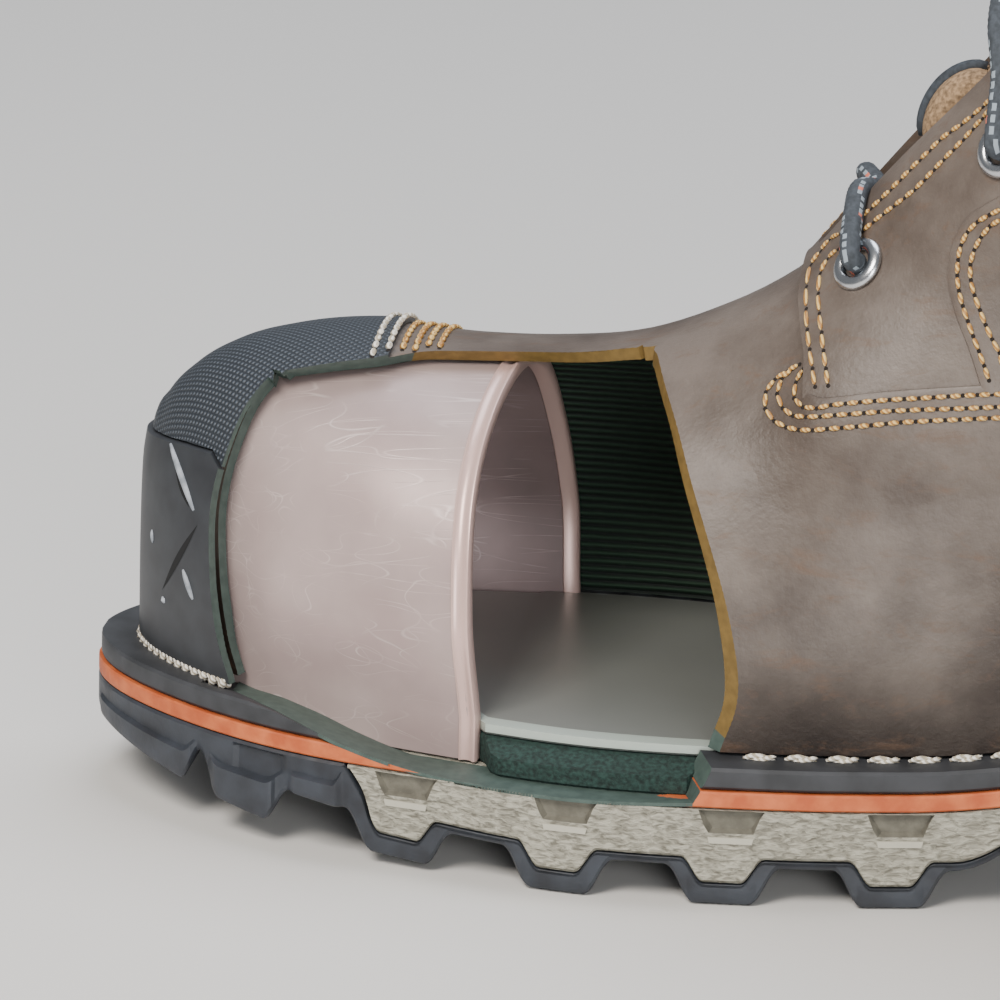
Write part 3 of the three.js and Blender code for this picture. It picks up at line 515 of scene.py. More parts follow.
# %% Form and layer tools
WALL = 2.6
FINE_SECTIONS = np.concatenate([np.linspace(0, 1, 78)**1.25, 1 + np.linspace(0, 1, 64)[1:]])
FINE_SIDES = np.linspace(-1, 1, 105)


def form(name, height, sections=FINE_SECTIONS, sides=FINE_SIDES, past=0.0, deep=0.0, mat=None):
    """Filled form at a height over the outer surface, past the collar and below the foot."""
    c = np.broadcast_to(sides, (len(sections), len(sides)))
    a = np.broadcast_to(np.reshape(sections, (len(sections), -1)), c.shape)
    tall = height(a, c) if callable(height) else np.full(a.shape, float(height))
    rings = raised(a, c, tall)
    if deep:
        down = np.array([0, 0, -deep])
        rings = np.concatenate([rings[:, :1] + down, rings, rings[:, -1:] + down], 1)
    if past:
        step = np.array([math.cos(FAN), 0, math.sin(FAN)]) * past
        rings = np.concatenate([rings, rings[-1:] + step], 0)
    points, faces = loft(rings)
    return turn_out(mesh_object(name, points, faces, mat))


def layer_tool(name, low, high, inset, toe, heel, count=120, mat=None):
    """Flat layer of the sole's plan between two heights."""
    s = toe + 0.3 + (LENGTH - heel - toe - 0.6) * (1 - np.cos(np.linspace(0, np.pi, count))) / 2
    w = np.maximum(plan_half(s, inset(s) if callable(inset) else inset, toe, heel), 0.3)
    m, a, b = middle(s), low(s), high(s)
    rings = np.stack([np.stack([s, m - w, a], -1), np.stack([s, m + w, a], -1),
                      np.stack([s, m + w, b], -1), np.stack([s, m - w, b], -1)], 1)
    points, faces = loft(rings)
    return turn_out(mesh_object(name, points, faces, mat))


print("form of", len(FINE_SECTIONS), "sections and", len(FINE_SIDES), "sides")

# %% [markdown]
# The window is drawn in the side view. Each row of its table holds a place (s, z), the height
# of what covers the leather there, and the width of the cut edge as the eye sees it. From
# those the lean of the cut is worked out, and the corners stay sharp.

# %% Window tool
WINDOW = {
    "left": [(33, 20, 2.2, 2.3), (33.5, 27.4, 2.2, 2.3), (30.7, 35.2, 2.2, 2.4),
             (29.3, 44, 2.2, 2.5), (28.3, 53.2, 2.2, 2.5), (27.9, 62.3, 2.2, 2.5),
             (29.1, 69.7, 2.0, 2.4), (30.4, 75.1, 1.4, 2.2), (32.8, 81.1, 1.2, 1.9),
             (36.5, 85.2, 1.2, 1.6)],
    "top": [(36.5, 85.2, 1.2, 1.6), (50, 88.1, 1.2, 1.5), (56.6, 89, 1, 1.5),
            (62.6, 90.2, 0, 1.5), (70.5, 90.3, 0, 1.4), (78.9, 90.6, 0, 1.4),
            (88.6, 91.3, 0, 1.4), (98.5, 92.5, 0, 1.4), (109.5, 94.9, 0, 1.4)],
    "right": [(109.5, 94.9, 0, 1.4), (115.5, 88.2, 0, 1.4), (120.6, 77.9, 0, 1.5),
              (125, 68.1, 0, 1.6), (129, 57.7, 0, 1.9), (131.3, 49, 0, 2.2),
              (132.2, 43, 0, 2.4), (131.9, 36.4, 0, 2.4), (129.4, 29.3, 0, 2.3),
              (127, 19, 0, 2.3)],
    "foot": [(127, 19, 0, 2.3), (105, 19, 0, 2.3), (60, 19, 0, 2.3), (33, 20, 2.2, 2.3)]}
OCHRE_FROM, OCHRE_ABOVE = 62.0, 31.0
TOOL_OUT, TOOL_IN = 12.0, 7.0
INSIDE, EYE_SIDE, CAP_MIDDLE = (80, -12, 52), (84, -150, 100), (80, -20, 55)
STEEPEST, FLATTEST = -1.0, 2.5


def on_side(s, z, way=-1):
    """The outer surface at a place of the side view, on the outer (-1) or inner side (1)."""
    s, z = np.broadcast_arrays(np.asarray(s, float), np.asarray(z, float))
    return np.stack([s, middle(s) + way * upper_half(s, z), z], -1)


def side_normal(s, z, way=-1):
    ds = on_side(s + 0.5, z, way) - on_side(s - 0.5, z, way)
    dz = on_side(s, z + 0.2, way) - on_side(s, z - 0.2, way)
    n = unit(np.cross(ds, dz))
    return n * np.where(n[..., 1:2] * way < 0, -1, 1)


def through(rows, step):
    """A smooth line through rows of numbers, sampled about every step of its first two."""
    rows = np.asarray(rows, float)
    far = np.concatenate([[0], np.cumsum(np.linalg.norm(np.diff(rows[:, :2], axis=0), axis=1))])
    at = np.linspace(0, far[-1], max(int(far[-1] / step), 2) + 1)
    return np.stack([curve(far, column)(at) for column in rows.T], -1)


def eased(rows, fixed, passes=10):
    """Evens out a closed list of rows, the fixed ones kept where they are."""
    rows = np.array(rows, float)
    for _ in range(passes):
        held = rows[fixed]
        rows = (np.roll(rows, 1, 0) + 2 * rows + np.roll(rows, -1, 0)) / 4
        rows[fixed] = held
    return rows


def window_tool(name):
    """The cut: its wall leans so that each part of the edge shows its own width to the eye."""
    sides = [through(WINDOW[k], 1.2)[:-1] for k in ("left", "top", "right", "foot")]
    s, z, lift, width = np.concatenate(sides).T
    corners = np.cumsum([0] + [len(side) for side in sides[:-1]])
    n = side_normal(s, z)
    edge = on_side(s, z) + n * lift[:, None]
    n, edge = unit(eased(n, corners)), eased(edge, corners)
    along = unit(np.roll(edge, -1, 0) - np.roll(edge, 1, 0))
    inward = unit(np.cross(n, along))
    inward *= np.where(((CAP_MIDDLE - edge) * inward).sum(-1, keepdims=True) < 0, -1, 1)
    eye = np.array(back)
    seen = unit(inward - (inward @ eye)[:, None] * eye)
    slope = ((width / (WALL + lift) + (n * seen).sum(-1)) / (inward * seen).sum(-1))
    slope = np.clip(slope, STEEPEST, FLATTEST) * smooth(20, 28, z)
    top = np.arange(corners[1] + 2, corners[2] - 2)
    slope[top] = np.polyval(np.polyfit(top, slope[top], 3), top)
    lean = n - inward * slope[:, None]
    count = len(edge)
    points = np.concatenate([edge + TOOL_OUT * lean, edge - (TOOL_IN + lift[:, None]) * lean,
                             [EYE_SIDE], [INSIDE]])
    faces, marks = [], []
    for i in range(count):
        j = (i + 1) % count
        faces += [[i, j, count + j, count + i], [j, i, 2 * count],
                  [count + i, count + j, 2 * count + 1]]
        marks += [int(s[i] > OCHRE_FROM and z[i] > OCHRE_ABOVE)] * 3
    return turn_out(mesh_object(name, points, faces, [edge_green, edge_ochre], marks=marks))


print("window edge of", sum(len(rows) for rows in WINDOW.values()) - 4, "places")

# %% [markdown]
# The throat's slot widens upwards, as the lacing opens. With it all the tools are there.

# %% Upper shell
SLOT = np.array([(.443, 2.4), (.458, 4.5), (.488, 7), (.539, 10.4), (.64, 13.5)])
slot_half = curve(SLOT[:, 0] * LENGTH, SLOT[:, 1])
PAST_COLLAR, SLOT_OUT, SLOT_IN = 2.12, 12.0, 14.0
SLOT_START = float(cross(lambda a: section_ends(a)[1][0] < SLOT[0, 0] * LENGTH, 0.5, 1.2))


def slot_tool(name, grow=0.0, mat=None):
    """The throat's slot, from the lowest eyelets up past the collar."""
    a = np.concatenate([np.linspace(SLOT_START, 2, 60), [PAST_COLLAR]])
    p, n = surface(a, 0), surface_normal(a, 0)
    h = slot_half(p[:, 0]) + grow
    high, low = p + SLOT_OUT * n, p - SLOT_IN * n
    side = np.stack([np.zeros_like(h), h, np.zeros_like(h)], -1)
    points, faces = loft(np.stack([high - side, high + side, low + side, low - side], 1))
    return turn_out(mesh_object(name, points, faces, mat))


upper = form("leather_upper", 0, mat=leather)
inside = form("inside", -WALL, past=10, mat=lining)
seat = layer_tool("seat", lambda s: feather(s) - 3, lambda s: feather(s) + 6,
                  lambda s: shelf(s) + WALL, TOE_STEP + WALL, HEEL_STEP + WALL, mat=lining)
cut(upper, inside, seat, slot_tool("slot", mat=cut_dark), window_tool("window"))
sharpen(upper)
place(upper, "brown_leather", "upper")

# %% [markdown]
# ## Steel cap
# A safety cap is deep drawn from sheet steel and its rear rim is turned and thickened. It is
# the same form as the upper, set in by the wall and a little air, with a skirt down to the
# sole. The inside is a second form taken away from it.

# %% Steel cap
CAP_CLEAR, CAP_WALL, CAP_END, CAP_FOOT = 0.9, 1.8, 84.0, 8.5
CAP_OUT = -WALL - CAP_CLEAR


def section_at(s):
    """Section whose ridge point lies at s, in front of the shaft."""
    table = np.linspace(0, 1, 400)
    return np.interp(s, section_ends(table)[1][0], table)


def cap_rear(y, z):
    """The cap's rear edge runs a little askew: further forward on the outer side."""
    return (CAP_END - 0.8 + 0.0985 * y - 0.075 * (z - 45) + 0.004 * np.maximum(z - 65, 0)**2
            + 0.015 * np.maximum(30 - z, 0)**2)


def rear_sections(sides, short):
    """Section of each side line at a distance before the cap's rear edge."""
    sections = np.full(len(sides), section_at(CAP_END))
    for _ in range(5):
        p = raised(sections, sides, np.full(len(sides), CAP_OUT))
        sections = section_at(cap_rear(p[:, 1], p[:, 2]) - short)
    return sections


def cap_material(name, light, dark, line, rough, metal):
    """Satin painted steel: a soft tone, and hair-fine scratches that cross in four ways."""
    made, tree, mm = material(name)
    cloud = add(tree, "TexNoise", {"Vector": mm, "Scale": 1 / 26, "Detail": 4})
    hue = add(tree, "ValToRGB", {0: cloud}, stops=((0.35, dark), (0.65, light)))
    lines = None
    for turn, long, fine in ((0.5, 150, 5), (-0.8, 180, 6), (1.35, 130, 5), (-0.2, 160, 7)):
        turned = add(tree, "Mapping", {"Vector": mm, "Rotation": (0.2 * turn, turn, 0.1),
                                       "Scale": (1 / long, 1 / fine, 1 / fine)})
        noise = add(tree, "TexNoise", {"Vector": turned, "Scale": 1.0, "Detail": 0.0})
        off = add(tree, "Math", {0: noise, 1: 0.5}, operation="SUBTRACT")
        near = add(tree, "Math", {0: off}, operation="ABSOLUTE")
        hair = add(tree, "MapRange", {"Value": near, "From Min": 0.0, "From Max": 0.008,
                                      "To Min": 1.0, "To Max": 0.0})
        lines = hair if lines is None else add(tree, "Math", {0: lines, 1: hair},
                                               operation="MAXIMUM")
    thin = add(tree, "TexNoise", {"Vector": mm, "Scale": 1 / 9, "Detail": 2})
    here = add(tree, "MapRange", {"Value": thin, "From Min": 0.42, "From Max": 0.66,
                                  "To Max": 0.55})
    shown = add(tree, "Math", {0: lines, 1: here}, operation="MULTIPLY")
    colour = add(tree, "Mix", {0: shown, 6: hue, 7: line}, data_type="RGBA")
    finish(tree, {"Base Color": colour.outputs[2], "Roughness": rough, "Metallic": metal}, shown,
           -0.05)
    return made


cap_steel = cap_material("painted_cap_steel", "#bba8a4", "#a89491", "#e6d8d4", 0.42, 0.25)
# The cap's inside takes a darker copy of the same finish: painted shade.
cap_inside_painted_shade = cap_material("inner_cap_steel_painted_shade", "#94807f", "#7f6e6d", "#c4b2b0", 0.5, 0.25)
rim_steel = plain_material("turned_cap_rim", "#d9b9b1", 0.34, 0.3, size=9)
cap_sides = np.linspace(-1, 1, 81)
along_cap = np.linspace(0, 1, 60)[:, None]**1.15
cap = form("steel_toe_cap", CAP_OUT, along_cap * rear_sections(cap_sides, 0.6), cap_sides,
           deep=CAP_FOOT, mat=cap_steel)
cut(cap, form("cap_room", CAP_OUT - CAP_WALL, along_cap * rear_sections(cap_sides, -5),
              cap_sides, deep=CAP_FOOT + 4, mat=cap_inside_painted_shade))
sharpen(cap, 40)
place(cap, "cap_steel", "toe_cap")

# %% [markdown]
# The rear rim of such a cap is rolled, so that it does not cut the foot. One profile is swept
# along the cap's rear edge and down both its skirts.

# %% Turned rim
def sweep(name, path, normals, profile, mat):
    """A profile of (out, across) places swept along a path; out goes along the normals."""
    path, n = np.asarray(path, float), unit(np.asarray(normals, float))
    across = unit(np.cross(unit(np.gradient(path, axis=0)), n))
    p = np.asarray(profile, float)
    rings = path[:, None] + n[:, None] * p[None, :, :1] + across[:, None] * p[None, :, 1:]
    return turn_out(mesh_object(name, *loft(rings), mat))


RIM_PROFILE = [(-2.1, -1.2), (-2.1, 1.4), (-1.6, 1.9), (0.3, 2.0), (0.8, 1.75), (0.85, 1.3),
               (0.45, 0.8), (0.3, 0), (0.45, -0.8), (0.8, -1.2), (0.7, -1.6), (0.1, -1.8),
               (-0.9, -1.8), (-1.4, -1.5)]
RIM_COUNT, RIM_SHORT, RIM_SUNK = 120, 1.6, 0.3
rim_sides = np.linspace(-1, 1, RIM_COUNT)
rim_sections = rear_sections(rim_sides, RIM_SHORT)
rim_path = raised(rim_sections, rim_sides, np.full(RIM_COUNT, CAP_OUT - RIM_SUNK))
rim_normals = surface_normal(rim_sections, rim_sides)
skirt = np.linspace(CAP_FOOT, CAP_FOOT / 4, 4)[:, None] * [0, 0, -1]
rim_path = np.concatenate([rim_path[:1] + skirt, rim_path, rim_path[-1:] + skirt[::-1]])
rim_normals = np.concatenate([rim_normals[[0] * 4], rim_normals, rim_normals[[-1] * 4]])
rim = sweep("turned_rim", rim_path, rim_normals, RIM_PROFILE, rim_steel)
place(sharpen(rim, 50), "cap_steel")

# %% [markdown]
# ## Insole plate and foam
# Under the foot lies a flexible steel plate against nails, and the foam below it fills the
# sole. Both are flat layers of the last's plan, with their edges eased.

# %% Plate and foam
PLATE_THICK, PLATE_EDGE, CAP_EDGE, PLATE_LIFT = 2.6, 12.2, 14.4, 0.2
GAP, FOAM_OUT, FOAM_END = 0.3, 5.7, (123.5, 126.5)


def eased_layer(name, low, high, inset, toe, heel, ease, mat, near=None, fall=0.0, marks=None):
    """A layer of the sole, its edges chamfered; near and fall widen and slope the outer side."""
    s = toe + 0.25 + (LENGTH - heel - toe - 0.5) * (1 - np.cos(np.linspace(0, np.pi, 220))) / 2
    w = np.maximum(plan_half(s, inset(s) if callable(inset) else inset, toe, heel), 0.5)
    out = w if near is None else np.maximum(w + near(s), 0.5)
    m, a, b = middle(s), low(s), high(s)
    e, slope = np.minimum(ease, w * 0.4), np.minimum(max(fall, ease), w * 0.4)
    rows = [(-out + e, a), (w - e, a), (w, a + ease), (w, b - ease), (w - slope, b),
            (-w + slope, b), (-out, b - ease - (out - w) * 0.3), (-out, a + ease)]
    rings = np.stack([np.stack([s, m + y, z + 0 * s], -1) for y, z in rows], 1)
    points, faces = loft(rings)
    if marks:
        marks = [int(marks[0] <= f[0] % 8 <= marks[1]) for f in faces]
    return turn_out(mesh_object(name, points, faces, mat, marks=marks))


def last_inset(s):
    return CAP_EDGE - (CAP_EDGE - PLATE_EDGE) * smooth(CAP_END - 2.4, CAP_END - 1.4, s)


def plate_low(s):
    return feather(s) + PLATE_LIFT - PLATE_THICK


def foam_step(s):
    """Foam left standing in the window, out beyond the insole plate."""
    return FOAM_OUT * smooth(CAP_END, CAP_END + 1.5, s) * (1 - smooth(*FOAM_END, s))


insole_steel = plain_material("satin_insole_steel", "#9da09b", 0.36, 0.55, other="#a6a9a4", size=60)
# The near top chamfer and outer wall of the plate take a lighter copy of its steel: a painted
# highlight.
plate_edge_highlight = plain_material("plate_rim_painted_highlight", "#b9c4bb", 0.4, 0.3, size=20)
foam_green = plain_material("green_foam", "#13231f", 0.85, other="#26403a", size=0.9, relief=0.3)
LAST_ENDS = (TOE_STEP + WALL + 3, HEEL_STEP + WALL + 1.2)
plate = eased_layer("steel_insole_plate", plate_low, lambda s: feather(s) + PLATE_LIFT,
                    last_inset, *LAST_ENDS, 0.5, [insole_steel, plate_edge_highlight], fall=2.6,
                    marks=(5, 6))
foam = eased_layer("green_foam_bed", core_top, lambda s: plate_low(s) - GAP, last_inset,
                   *LAST_ENDS, 0.4, foam_green, near=foam_step)
for piece, slot_name, node_name in ((plate, "insole_steel", "insole_plate"),
                                    (foam, "footbed_foam", "foam")):
    sharpen(piece)
    place(piece, slot_name, node_name)

# %% [markdown]
# ## Welt and midsole
# The welt is a strip of rubber round the upper's foot, stitched through. The orange midsole
# lies under it. Both are rings: an outer layer less the room of the upper. The window's cut
# goes on down through them, so a wedge is taken out there as well.

# %% Welt and midsole
SEAT_GAP, WELT_SET_IN, RING_CLEAR = 0.7, 0.5, 0.1
# The cut's lower edge: place along the boot, how far in from the sole's wall, and height
CUT_EDGE = np.array([(31.9, 6.6, 26.2), (35.8, 6.3, 25.8), (38.7, 5, 25.9), (41.8, 3.8, 25.9),
                     (45.3, 2.6, 25.5), (49.8, 1.2, 24.8), (57.2, 0, 22.9), (66.3, 0, 20.8),
                     (76.3, 0, 19.5), (85.7, 0, 19.2), (107, 0, 19.2), (125.2, 0, 20.1)])
CUT_END = np.array([(127.4, 24), (129.3, 28.5), (131, 33), (131, 60)])
CUT_DEEP, FLOOR_SLOPE, SIGHT_SLOPE, END_TURN, FLOOR_LEAST = 12.3, 0.12, 0.33, 4.0, 19.1
edge_in = curve(CUT_EDGE[:, 0], CUT_EDGE[:, 1])
edge_high = curve(CUT_EDGE[:, 0], CUT_EDGE[:, 2])

welt_rubber = plain_material("black_welt_rubber", "#3a3c40", 0.6, other="#2c2e31", size=6)
midsole_tan = plain_material("tan_midsole", "#b4552b", 0.6, other="#cf7040", size=5, relief=0.25)


def ring_room(name, mat):
    return layer_tool(name, lambda s: core_top(s) - 4, lambda s: feather(s) + 4,
                      lambda s: shelf(s) + WALL + RING_CLEAR, TOE_STEP + WALL + RING_CLEAR,
                      HEEL_STEP + WALL + RING_CLEAR, mat=mat)


def wall_half(s, inset):
    """Half width of the sole set in by inset, its toe set in by as much as the upper's is."""
    inset = np.maximum(inset, 0)
    return plan_half(s, inset, TOE_STEP * inset / WELT_SHELF)


def notch_tool(name, own):
    """The wedge that the window's cut takes out of welt and midsole; its end face is green."""
    s = np.linspace(CUT_EDGE[0, 0], CUT_EDGE[-1, 0], 70)
    s = np.concatenate([[26, 26], s, CUT_END[:, 0]])
    z = np.concatenate([[60, edge_high(26)], edge_high(s[2:-4]), CUT_END[:, 1]])
    middle_in = edge_in(s)
    last = len(s) - 4
    rings = []
    for inset in (middle_in * 0 - 10, middle_in, middle_in * 0 + CUT_DEEP):
        at = s.copy()
        at[last - 1:] += END_TURN * (middle_in - inset)[last - 1:] / CUT_DEEP
        high = z + np.where(inset < middle_in, SIGHT_SLOPE, FLOOR_SLOPE) * (middle_in - inset)
        high[last:] = z[last:]
        high = np.maximum(high, FLOOR_LEAST)
        half = wall_half(at, inset)
        rings.append(np.stack([at, middle(at) - half + np.minimum(inset, 0), high], -1))
    points, faces = loft(rings)
    count = len(s)
    marks = [int(last - 1 <= f[0] % count < count - 1) for f in faces[:-2]] + [0, 0]
    return turn_out(mesh_object(name, points, faces, [own, edge_green], marks=marks))


welt = eased_layer("rubber_welt", midsole_top, lambda s: feather(s) - SEAT_GAP, WELT_SET_IN,
                   WELT_SET_IN, WELT_SET_IN, 0.6, welt_rubber)
midsole = eased_layer("midsole_band", core_top, lambda s: midsole_top(s) - GAP, 0.0, 0, 0, 0.35,
                      midsole_tan)
for piece, slot_name, node_name, own in ((welt, "welt_rubber", "welt", welt_rubber),
                                         (midsole, "tan_midsole", "midsole", midsole_tan)):
    cut(piece, ring_room("room", own), notch_tool("notch", own))
    sharpen(piece)
    place(piece, slot_name, node_name)

# %% [markdown]
# The cut edge runs on below the cap as a narrow green lip. It starts at the upper's foot,
# crosses the welt's shelf and then follows the outer wall of the sole, down to the core.

# %% Green lip of the cut
LIP_THICK, LIP_OVER = 0.7, 0.2
lip_s = np.linspace(CUT_EDGE[0, 0], CUT_EDGE[-1, 0], 320)
lip_out = edge_in(lip_s) - 0.3
lip_in = CUT_DEEP - 0.8 - 4.0 * smooth(CAP_END + 1, CAP_END + 3, lip_s)
lip_high = edge_high(lip_s) + LIP_OVER
lip_low = np.maximum(lip_high - FLOOR_SLOPE * (lip_in - lip_out), FLOOR_LEAST + 0.15)
rows = [(lip_out, lip_high), (lip_in, lip_low), (lip_in, lip_low - LIP_THICK),
        (lip_out, lip_high - LIP_THICK)]
lip = mesh_object("green_cut_lip", *loft(np.stack(
    [np.stack([lip_s, middle(lip_s) - wall_half(lip_s, inset), z], -1) for inset, z in rows], 1)),
    edge_green)
place(sharpen(turn_out(lip)), None)

# %% [markdown]
# ## Outsole and core
# The black rubber outsole is a tray with lugs. The pale core stands in it, and its teeth come
# down into the lugs along the edge. Each is a loft of one cross section along the boot.

# %% Tread profile
LUG_DEPTH, COVER_THICK, TOOTH_REACH, LUG_FLANK, TOOTH_HALF = 7.4, 2.0, 4.9, 5.0, 4.2
GROOVE_FLANK, TOOTH_FLANK, GROOVE_WIDER = 3.6, 3.0, 1.1
WAIST_LIFT, WAIST_FROM, WAIST_TO, HEEL_BREAST, BREAST_RUN = 13.0, 174.0, 200.0, 228.0, 4.0
HEEL_BEVEL, BEVEL_LONG, CORE_FRONT, CORE_NOSE_GAP = 3.0, 18.0, 57.8, 0.7
TREAD_LANE, CORE_LANE, LANE_WALL = 0.27, 0.56, 1.2
LUGS = np.array([(0, .077), (.09, .134), (.191, .237), (.29, .336), (.389, .435), (.488, .534),
                 (.717, .77), (.826, .872), (.925, 1)]) * LENGTH
TEETH = np.array([.214, .313, .412, .511, .744, .849, .955]) * LENGTH


def ground(s):
    return (TOE_SPRING * np.clip(1 - s / SPRING_FROM, 0, 1)**2
            + HEEL_BEVEL * np.clip((s - LENGTH + BEVEL_LONG) / BEVEL_LONG, 0, 1)**2)


def tread_base(s):
    breast = 1 - np.clip((s - HEEL_BREAST + BREAST_RUN) / BREAST_RUN, 0, 1)
    return ground(s) + WAIST_LIFT * smooth(WAIST_FROM, WAIST_TO, s) * breast


def softened(profile, reach):
    """The mean of a profile around each place, so that its corners turn round."""
    return lambda s: np.mean([profile(s + d) for d in np.linspace(-reach, reach, 9)], 0)


def lug_profile(s):
    """Height of the tread's edge: 0 on a lug, the lug depth in a groove."""
    tall = np.zeros_like(s)
    for (_, end), (start, _) in zip(LUGS[:-1], LUGS[1:]):
        start, end = start + GROOVE_WIDER, end - GROOVE_WIDER
        run = min(GROOVE_FLANK, (start - end) * 0.35)
        rise = np.minimum(np.minimum((s - end) / run, (start - s) / run), 1)
        tall = np.maximum(tall, LUG_DEPTH * np.clip(rise, 0, 1))
    return tall


def tooth_profile(s):
    off = np.abs(s[:, None] - TEETH[None]).min(1)
    return TOOTH_REACH * np.clip(1 - (off - TOOTH_HALF) / TOOTH_FLANK, 0, 1)


edge_tread, tooth_drop = softened(lug_profile, 1.1), softened(tooth_profile, 0.7)


def core_bottom(s, edge):
    return tread_base(s) + LUG_DEPTH + COVER_THICK - (tooth_drop(s) if edge else 0)


def block(s, low, high):
    """1 between two places with short soft ends, 0 elsewhere."""
    return smooth(low, low + 1.6, s) * (1 - smooth(high - 1.6, high, s))


print("lugs at the floor:", len(LUGS), "and teeth of the core:", len(TEETH))

# %% [markdown]
# The core is moulded in a grey that looks like stone: a rough pebble in slanting rows, with a
# painted highlight on its crests and painted shade in its hollows. The outsole is black
# carbon-filled rubber with a dull bloom.

# %% Core and rubber finishes
def core_material(name):
    """Moulded grey core: a leathery pebble in slanting rows, with painted highlight on its crests
    and painted shade in its hollows.
    """
    made, tree, mm = material(name)
    turned = add(tree, "Mapping", {"Vector": mm, "Rotation": (0, 0.7, 0),
                                   "Scale": (1 / 2.2, 1 / 1.2, 1 / 0.8)})
    pebble = add(tree, "TexNoise", {"Vector": turned, "Scale": 1.0, "Detail": 3,
                                    "Distortion": 0.7})
    # The pebble's height sets its colour: painted highlight on the crests, painted shade in the
    # hollows.
    hue = add(tree, "ValToRGB", {0: pebble}, stops=((0.32, "#6f6c60"), (0.62, "#aba899")))
    finish(tree, {"Base Color": hue, "Roughness": 0.8}, pebble, 0.9)
    return made


stone_core = core_material("stone_grey_core")
# The pockets take a darker grey, painted shade in the recess; the raised bars a paler one, a
# painted highlight.
pocket_painted_shade = plain_material("core_pocket_painted_shade", "#5c594f", 0.8, other="#6f6c60", size=2.5, relief=0.4)
bar_painted_highlight = plain_material("core_bar", "#b5b2a3", 0.75, size=2)
outsole_rubber = plain_material("black_outsole_rubber", "#272a30", 0.5, other="#363b43", size=7,
                                relief=0.5)
print("made", stone_core.name, outsole_rubber.name)

# %% [markdown]
# Both are lofts along the boot, of one ring of places for each cut across it. The outsole's
# ring is a tray with a channel down its middle, and at the toe its wall stands full height
# with moulded blocks.

# %% Rings of outsole and core
sole_s = np.unique(np.round(np.concatenate([
    np.linspace(0.2, LENGTH - 0.2, 520), LUGS.ravel(), (TEETH[:, None] + [-10, -5, 5, 10]).ravel(),
    [0.4, 0.8, 1.4, 2.2, 3.2, 224, 228, CORE_FRONT, CORE_FRONT - CORE_NOSE_GAP]]), 2))
sole_s = sole_s[(sole_s >= 0.2) & (sole_s <= LENGTH - 0.2)]


def outsole_rings(s):
    w, m = plan_half(s), middle(s)
    lane, lane2 = w * TREAD_LANE, w * CORE_LANE
    wall = np.minimum(LANE_WALL, w * 0.1)
    slack = np.minimum(GAP * 4, w * 0.06)
    round_off = np.minimum(1.5, w * 0.2)
    edge = tread_base(s) + edge_tread(s)
    centre = tread_base(s) + (LUG_DEPTH - edge_tread(s)) * 0.75
    front = np.clip((s - CORE_FRONT + CORE_NOSE_GAP) / LUG_FLANK, 0, 1)
    full = core_top(s) - GAP
    over_edge = full + (core_bottom(s, True) - GAP - full) * front
    over_middle = full + (core_bottom(s, False) - GAP - full) * front
    # At the toe the wall is full height: blocks stand out over each lug, with a ledge on top
    toe = 1 - smooth(CORE_FRONT - 3, CORE_FRONT, s)
    proud = 1.5 * toe * (block(s, 1, 26) + block(s, 28.5, 43.5) + block(s, 45.5, 57.5))
    sunk = -1.3 * toe * block(s, 33.5, 45.5)
    ledge = edge + (over_edge - edge) * (1 - 0.42 * toe)
    rows = [(-w - proud + round_off, edge), (-lane - wall, edge), (-lane, centre),
            (lane, centre), (lane + wall, edge), (w + proud - round_off, edge),
            (w + proud - round_off * 0.3, edge + round_off * 0.35), (w + proud, edge + round_off),
            (w + proud, ledge - 0.6), (w + sunk * 0.6, ledge), (w + sunk, over_edge - 1.3 * toe),
            (w, over_edge - 0.5), (w - 0.5, over_edge), (lane2 - slack, over_edge),
            (lane2 - wall - slack, over_middle), (-lane2 + wall + slack, over_middle),
            (-lane2 + slack, over_edge), (-w + 0.5, over_edge), (-w, over_edge - 0.5),
            (-w - sunk, over_edge - 1.3 * toe), (-w - sunk * 0.6, ledge),
            (-w - proud, ledge - 0.6), (-w - proud, edge + round_off),
            (-w - proud + round_off * 0.3, edge + round_off * 0.35)]
    return np.stack([np.stack([s, m + y, z], -1) for y, z in rows], 1)


def core_rings(s):
    w, m = plan_half(s), middle(s)
    lane = w * CORE_LANE
    wall = np.minimum(LANE_WALL, w * 0.1)
    top = core_top(s) - GAP
    front = np.clip((s - CORE_FRONT) / LUG_FLANK, 0.1, 1)
    edge = top + (core_bottom(s, True) - top) * front
    centre = top + (core_bottom(s, False) - top) * front
    rows = [(-w + 0.7, edge), (-lane, edge), (-lane + wall, centre), (lane - wall, centre),
            (lane, edge), (w - 0.7, edge), (w, edge + 0.7 * front), (w, top), (-w, top),
            (-w, edge + 0.7 * front)]
    return np.stack([np.stack([s, m + y, z], -1) for y, z in rows], 1)


print("rings along the sole:", len(sole_s))

# %% [markdown]
# Above each tooth the core's side has a pocket, wider at its top, with a short raised bar
# below it. The pockets are cut, and the bars are one joined mesh. The pockets' faces are
# painted darker as shade, and the bars paler as a highlight.

# %% Outsole and core pieces
POCKET_AHEAD, POCKET = 1.5, ((4.2, 14.6), (6.2, 19.0))
BAR = ((4.0, 12.6), (4.3, 13.8))
outsole = turn_out(mesh_object("rubber_outsole", *loft(outsole_rings(sole_s)), outsole_rubber))
core = turn_out(mesh_object("stone_core", *loft(core_rings(sole_s[sole_s >= CORE_FRONT])),
                            stone_core))


def side_rings(tooth, way, shape, steps):
    """Rings of a block at a tooth's side: its (half width, height) below and above, grown."""
    (low_half, low), (high_half, high) = shape
    rings = []
    for out, grow in steps:
        corners = [(tooth - low_half - grow, low - grow), (tooth + low_half + grow, low - grow),
                   (tooth + high_half + grow, high + grow), (tooth - high_half - grow, high + grow)]
        rings.append([(s, float(middle(s)) + way * (float(plan_half(s)) + out),
                       z + float(heel_lift(tooth))) for s, z in corners])
    return rings


